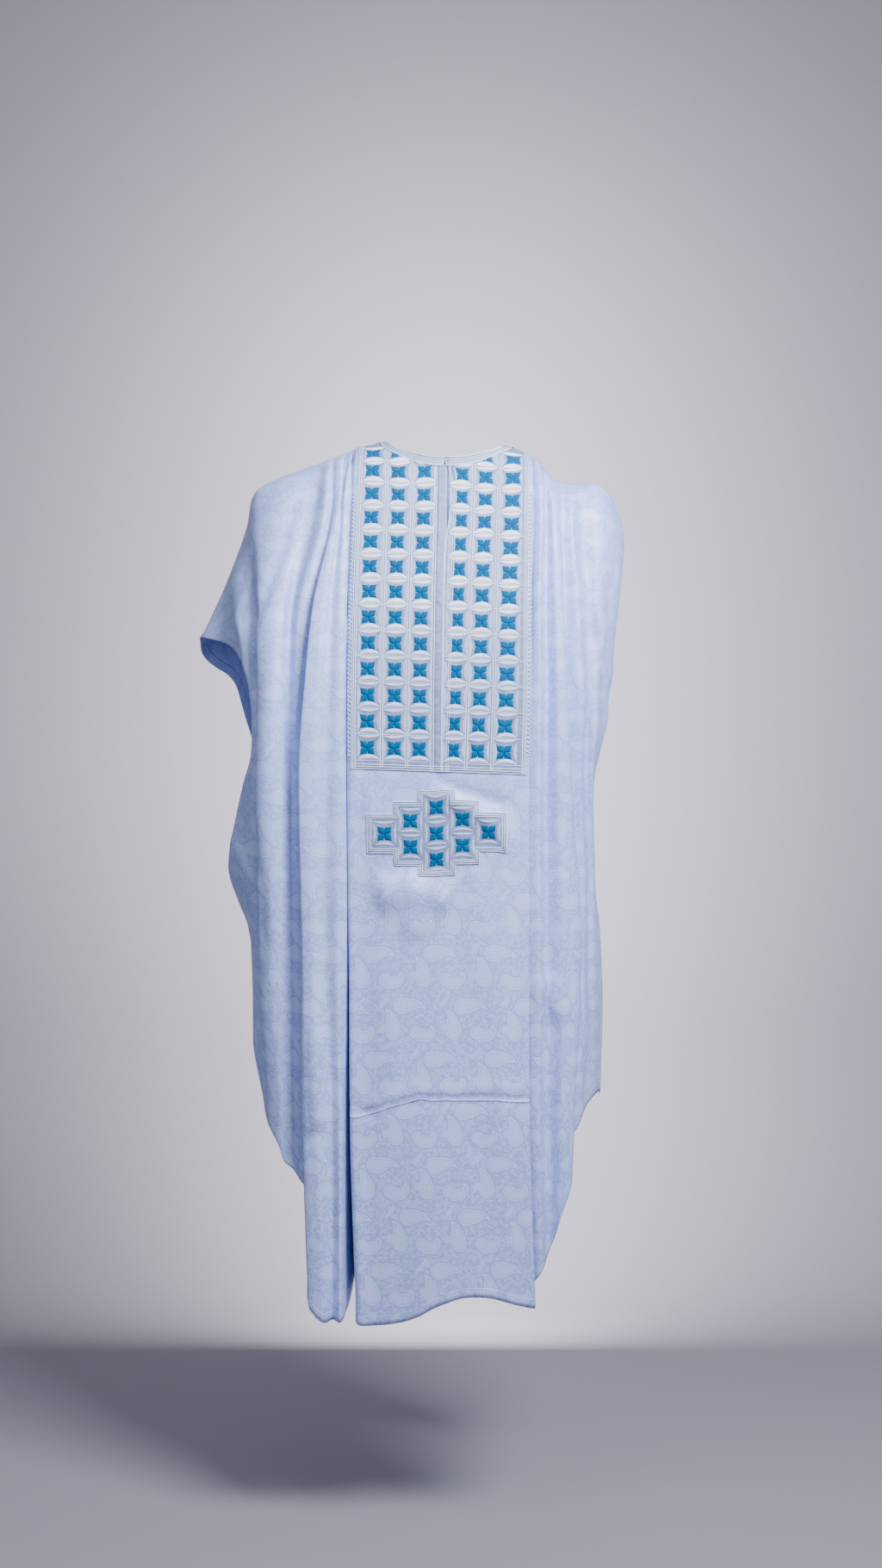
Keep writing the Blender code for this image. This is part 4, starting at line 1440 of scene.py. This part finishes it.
lozengeStars, starLayer = newWork()
lozengeSatin, lensLayer = newWork()
for across in range(1 - lozenge["middleStars"], lozenge["middleStars"]):
    count = lozenge["middleStars"] - abs(across)
    for place in range(count):
        up = (place - (count - 1) / 2) * lozenge["rowStep"]
        share = lozenge["share"] + across * lozenge["columnStep"] / widthAt(lozenge["up"])
        height = lozenge["up"] + up
        addStar(lozengeStars, starLayer, share, height, lozenge["starHalf"])
        half = lozenge["rowStep"] / 2 - lens["gap"]
        for side in (-1, 1):
            addLens(lozengeSatin, lensLayer, share, height, (0, side * half), (0, -side),
                    lozenge["lensHalf"], lens["riseDown"], lozenge["lensDome"])
        for side in (-1, 1):
            addLens(lozengeSatin, lensLayer, share, height, (side * lozenge["sideBase"], 0), (-side, 0),
                    lozenge["sideHalf"], lozenge["sideRise"], lozenge["sideDome"])
lozengeStarPiece = closeWork("lozengeStars", lozengeStars, starThread)
# the lozenge's satin stitches take the painted-shade copy of the white satin
lozengeSatinPiece = closeWork("lozengeSatin", lozengeSatin, shadedSatinThread)

lozengeWork, lozengeLayer = newWork()
outline = lozenge["outline"]
reachAcross = outline[-1][0]
reachUp = outline[0][1]


def lozengePlace(t, s):
    right = (2 * t - 1) * reachAcross
    up = (2 * s - 1) * reachUp
    return offFront(lozenge["share"], lozenge["up"], right, up, chest["groundLift"])


addPatch(lozengeWork, lozengeLayer, lozengePlace, *lozenge["gridSteps"], 2 * reachAcross, 2 * reachUp)
spare = []
for face in lozengeWork.faces:
    centre = sum((loop[lozengeLayer].uv for loop in face.loops), Vector((0, 0))) / len(face.loops) / mm
    right = abs(centre.x - reachAcross)
    up = abs(centre.y - reachUp)
    if not any(right < across + lozenge["edgeRoom"] and up < high for across, high in outline):
        spare.append(face)
bmesh.ops.delete(lozengeWork, geom=spare, context="FACES")
lozengeGround = closeWork("lozengeGround", lozengeWork, groundThread, chest["groundWall"])
print("lozenge")


def newCords(name, radius):
    curve = bpy.data.curves.new(name, "CURVE")
    curve.dimensions = "3D"
    curve.bevel_depth = radius * mm
    curve.bevel_resolution = 1
    curve.use_fill_caps = True
    curve.materials.append(cordThread)
    return curve


def addCord(curve, points, cyclic=False):
    if len(points) < 2:
        return
    spline = curve.splines.new("POLY")
    spline.points.add(len(points) - 1)
    for knot, point in zip(spline.points, points):
        knot.co = (*(point * mm), 1.0)
    spline.use_cyclic_u = cyclic


def addCords(name, curve):
    piece = bpy.data.objects.new(name, curve)
    bpy.context.scene.collection.objects.link(piece)
    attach(piece, "root")
    return piece


chestCords = newCords("chestCords", cordWork["radius"])


def railLine(shareAt, aside, bottom):
    points = []
    count = int((chest["top"] - bottom) / cordWork["step"])
    for index in range(count + 1):
        height = bottom + (chest["top"] - bottom) * index / count
        share = shareAt(height)
        point = offFront(share, sagged(share, height), aside, 0, cordWork["lift"])
        if not underNeckband(point) and (not points or (point - points[-1]).length > cordWork["least"]):
            points.append(point)
    return points


for left, right in ((0, 1), (1, 2), (3, 4), (4, 5)):
    lowShare, topShare = cellBorders(starColumns[left], starColumns[right])

    def between(height, lowShare=lowShare, topShare=topShare):
        return lowShare + (topShare - lowShare) * heightShare(height)

    for aside in (-cordWork["pair"], cordWork["pair"]):
        addCord(chestCords, railLine(between, aside, cordWork["pairFrom"]))
rails = (  # an edge of the embroidery, and how far right of it each cord lies
    (straight(0), (1.0, 3.2, 5.8)), (straight(1), (-1.7, 1.5)), (slitEdge(-1), (-0.9,)),
    (slitEdge(1), (0.9,)), (straight(2), (0.6, 3.4)), (straight(3), (-1.0, -3.2, -5.8)),
)
for shareAt, asides in rails:
    for aside in asides:
        addCord(chestCords, railLine(shareAt, aside, chest["bottom"]))


def acrossLine(first, last, height, inset=0.0):
    share0 = first(height) + inset
    share1 = last(height) - inset
    count = int(widthAt(height) * (share1 - share0) / cordWork["step"])
    points = []
    for index in range(count + 1):
        share = share0 + (share1 - share0) * index / count
        point = onFront(share, height - sagAt(share, height), cordWork["lift"])
        if not underNeckband(point):
            points.append(point)
    return points


for height in cordWork["foot"]:
    addCord(chestCords, acrossLine(straight(0), straight(3), chest["bottom"] + height))
picotFrom, picotRise = cordWork["picotRange"]
for shareAt, side in ((straight(0), -1), (straight(3), 1)):
    picots = []
    for index in range(int(picotRise / cordWork["picotStep"]) * cordWork["picotPoints"]):
        turn = index / cordWork["picotPoints"]
        height = picotFrom + cordWork["picotStep"] * turn
        aside = side * (cordWork["picotAside"] + cordWork["picot"] * abs(math.sin(math.pi * turn)))
        picots.append(offFront(shareAt(height), height, aside, 0, cordWork["picotLift"]))
    addCord(chestCords, picots)
cordPiece = addCords("chestCords", chestCords)

rowCords = newCords("rowCords", cordWork["rowRadius"])
for index in range(chest["rows"] + 1):
    height = chest["firstRow"] + chest["rowStep"] * (index - 0.5)
    for first, last in ((0, 1), (2, 3)):
        addCord(rowCords, acrossLine(straight(first), straight(last), height, cordWork["rowInset"]))
rowPiece = addCords("rowCords", rowCords)

lozengeCords = newCords("lozengeCords", cordWork["radius"])
for inset in lozenge["insets"]:
    corners = [(across - inset, up - inset) for across, up in outline]
    quarter = []
    for index, (across, up) in enumerate(corners):
        quarter.append((across, up))
        if index + 1 < len(corners):
            quarter.append((across, corners[index + 1][1]))
    ring = quarter + [(x, -y) for x, y in reversed(quarter)]
    ring += [(-x, -y) for x, y in quarter] + [(-x, y) for x, y in reversed(quarter)]
    points = []
    for begin, finish in zip(ring, ring[1:] + ring[:1]):
        count = max(int(math.dist(begin, finish) / cordWork["step"]), 1)
        for index in range(count):
            right = begin[0] + (finish[0] - begin[0]) * index / count
            up = begin[1] + (finish[1] - begin[1]) * index / count
            points.append(offFront(lozenge["share"], lozenge["up"], right, up, cordWork["lift"]))
    addCord(lozengeCords, points, cyclic=True)
lozengeCordPiece = addCords("lozengeCords", lozengeCords)
print("cords")

rightPiece = makeWing("rightWing", rightWing, cuffFirst=True)
leftPiece = makeWing("leftWing", leftWing, cuffFirst=False)


def inSlit(cells):
    isGap = {cell[0] for cell in cells} == set(slit["columns"])
    row = max(cell[1] for cell in cells)
    return isGap and -frontColumns[slit["columns"][0]][row].z < slit["end"]


homeColumn = len(frontColumns) // 2
frontMesh = clothMesh("frontPanel", frontColumns, flatPlaces(frontColumns, homeColumn, chestRow),
                      edgePlaces(frontColumns, None), gone=inSlit)
print("frontPanel cloth area", round(areaOf(frontMesh), 3))
frontPiece = addPiece("frontPanel", frontMesh, panelDamask, cloth["wall"])
backMesh = clothMesh("backPanel", backColumns, flatPlaces(backColumns, homeColumn, chestRow),
                     edgePlaces(backColumns, None))
print("backPanel cloth area", round(areaOf(backMesh), 3))
backPiece = addPiece("backPanel", backMesh, panelDamask, cloth["wall"])

band, bandLayer = newWork()
made = bmesh.ops.create_grid(band, x_segments=len(neckLines), y_segments=len(neckline["lines"]) - 1, size=0.5)
for vertex in made["verts"]:
    number = round((vertex.co.x + 0.5) * len(neckLines))
    line = round((vertex.co.y + 0.5) * (len(neckline["lines"]) - 1))
    for loop in vertex.link_loops:
        loop[bandLayer].uv = (number * neckline["pitch"] * mm, neckline["lines"][line] * mm)
    vertex.co = neckPoint(number, neckline["lines"][line], neckline["lift"]) * mm
bmesh.ops.remove_doubles(band, verts=band.verts, dist=hair)
bmesh.ops.recalc_face_normals(band, faces=band.faces)
bandMesh = bpy.data.meshes.new("neckband")
band.to_mesh(bandMesh)
band.free()
bandPiece = addPiece("neckbandGround", bandMesh, groundThread, neckline["wall"], offset=1.0)

neckCords = newCords("neckCords", neckline["cordRadius"])
for width in neckline["cords"]:
    lift = neckline["lift"] + neckline["wall"] + neckline["cordLift"]
    addCord(neckCords, [neckPoint(number, width, lift) for number in range(len(neckLines))], cyclic=True)
neckPiece = addCords("neckCords", neckCords)
print("neckband")

for piece, node in (
    (rightPiece, "right_wing"), (leftPiece, "left_wing"), (frontPiece, "front_panel"),
    (backPiece, "back_panel"), (bandPiece, "neckband"), (stripRight, "placket"),
    (rightGround, "chest_embroidery_right"), (leftGround, "chest_embroidery_left"),
    (lozengeGround, "lozenge_embroidery"),
):
    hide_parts(node)

stage = {
    "floor": -1.5,
    "wall": 1.6,
    "top": 3.0,
    "round": 0.5,
    "roundSteps": 12,
    "reach": 4.0,
    "colour": (0.26, 0.25, 0.285),
    "roughness": 0.9,
}


def makeStage():
    material, tree, shader = newMaterial("backdrop")
    shader.inputs["Base Color"].default_value = (*stage["colour"], 1.0)
    shader.inputs["Roughness"].default_value = stage["roughness"]
    side = tree.nodes.new("ShaderNodeNewGeometry")  # from behind, the wall doesn't hide the robe
    clear = tree.nodes.new("ShaderNodeBsdfTransparent")
    shown = tree.nodes.new("ShaderNodeMixShader")
    tree.links.new(side.outputs["Backfacing"], shown.inputs["Fac"])
    tree.links.new(shader.outputs["BSDF"], shown.inputs[1])
    tree.links.new(clear.outputs["BSDF"], shown.inputs[2])
    surface = next(node for node in tree.nodes if node.type == "OUTPUT_MATERIAL").inputs["Surface"]
    tree.links.new(shown.outputs["Shader"], surface)
    sweep = bmesh.new()
    profile = [(-stage["reach"], stage["floor"])]
    for index in range(stage["roundSteps"] + 1):
        turn = math.pi / 2 * index / stage["roundSteps"]
        profile.append((stage["wall"] - stage["round"] * (1 - math.sin(turn)),
                        stage["floor"] + stage["round"] * (1 - math.cos(turn))))
    profile.append((stage["wall"], stage["top"]))
    bmesh.ops.create_grid(sweep, x_segments=1, y_segments=len(profile) - 1, size=0.5)
    for vertex in sweep.verts:
        y, z = profile[round((vertex.co.y + 0.5) * (len(profile) - 1))]
        vertex.co = (vertex.co.x * 2 * stage["reach"], y, z)
    mesh = bpy.data.meshes.new("backdrop")
    sweep.to_mesh(mesh)
    sweep.free()
    mesh.materials.append(material)
    mesh.shade_smooth()
    backdrop = bpy.data.objects.new("backdrop", mesh)
    bpy.context.scene.collection.objects.link(backdrop)


makeStage()

lights = {  # place, what it is aimed at, width and height, power and colour
    "key": ((0.70, -1.20, 0.72), (0.0, 0.0, -0.3), (0.7, 0.7), 97.0, (0.88, 0.907, 1.0)),
    "fill": ((-1.7, -1.8, 0.5), (0.0, 0.0, -0.4), (1.4, 1.4), 21.0, (0.88, 0.91, 1.0)),
    "top": ((-0.1, -1.0, 1.4), (0.0, 0.0, -0.2), (0.8, 0.8), 8.0, (0.95, 0.96, 1.0)),
    "behind": ((0.0, 0.8, -0.35), (0.0, 1.6, -0.35), (0.45, 2.0), 62.0, (1.0, 0.965, 1.0)),
}
for name, (place, aim, size, power, colour) in lights.items():
    lamp = bpy.data.lights.new(name, "AREA")
    lamp.shape = "RECTANGLE"
    lamp.size, lamp.size_y = size
    lamp.energy = power
    lamp.color = colour
    holder = bpy.data.objects.new(name, lamp)
    holder.visible_camera = False  # a lamp never hides the robe
    holder.location = place
    holder.rotation_euler = (Vector(aim) - Vector(place)).to_track_quat("-Z", "Y").to_euler()
    bpy.context.scene.collection.objects.link(holder)

sky = {"colour": (0.72, 0.80, 1.0), "strength": 0.14}
world = bpy.data.worlds.new("studio")
world.use_nodes = True
background = world.node_tree.nodes["Background"]
background.inputs["Color"].default_value = (*sky["colour"], 1.0)
background.inputs["Strength"].default_value = sky["strength"]
bpy.context.scene.world = world

view = {"place": (-0.0072, -3.1, -0.474), "lens": 49.45, "sensor": 36.0}
camera = bpy.data.cameras.new("camera")
camera.sensor_fit = "VERTICAL"
camera.sensor_height = view["sensor"]
camera.lens = view["lens"]
cameraHolder = bpy.data.objects.new("camera", camera)
cameraHolder.location = view["place"]
cameraHolder.rotation_euler = (math.pi / 2, 0, 0)
bpy.context.scene.collection.objects.link(cameraHolder)
bpy.context.scene.camera = cameraHolder
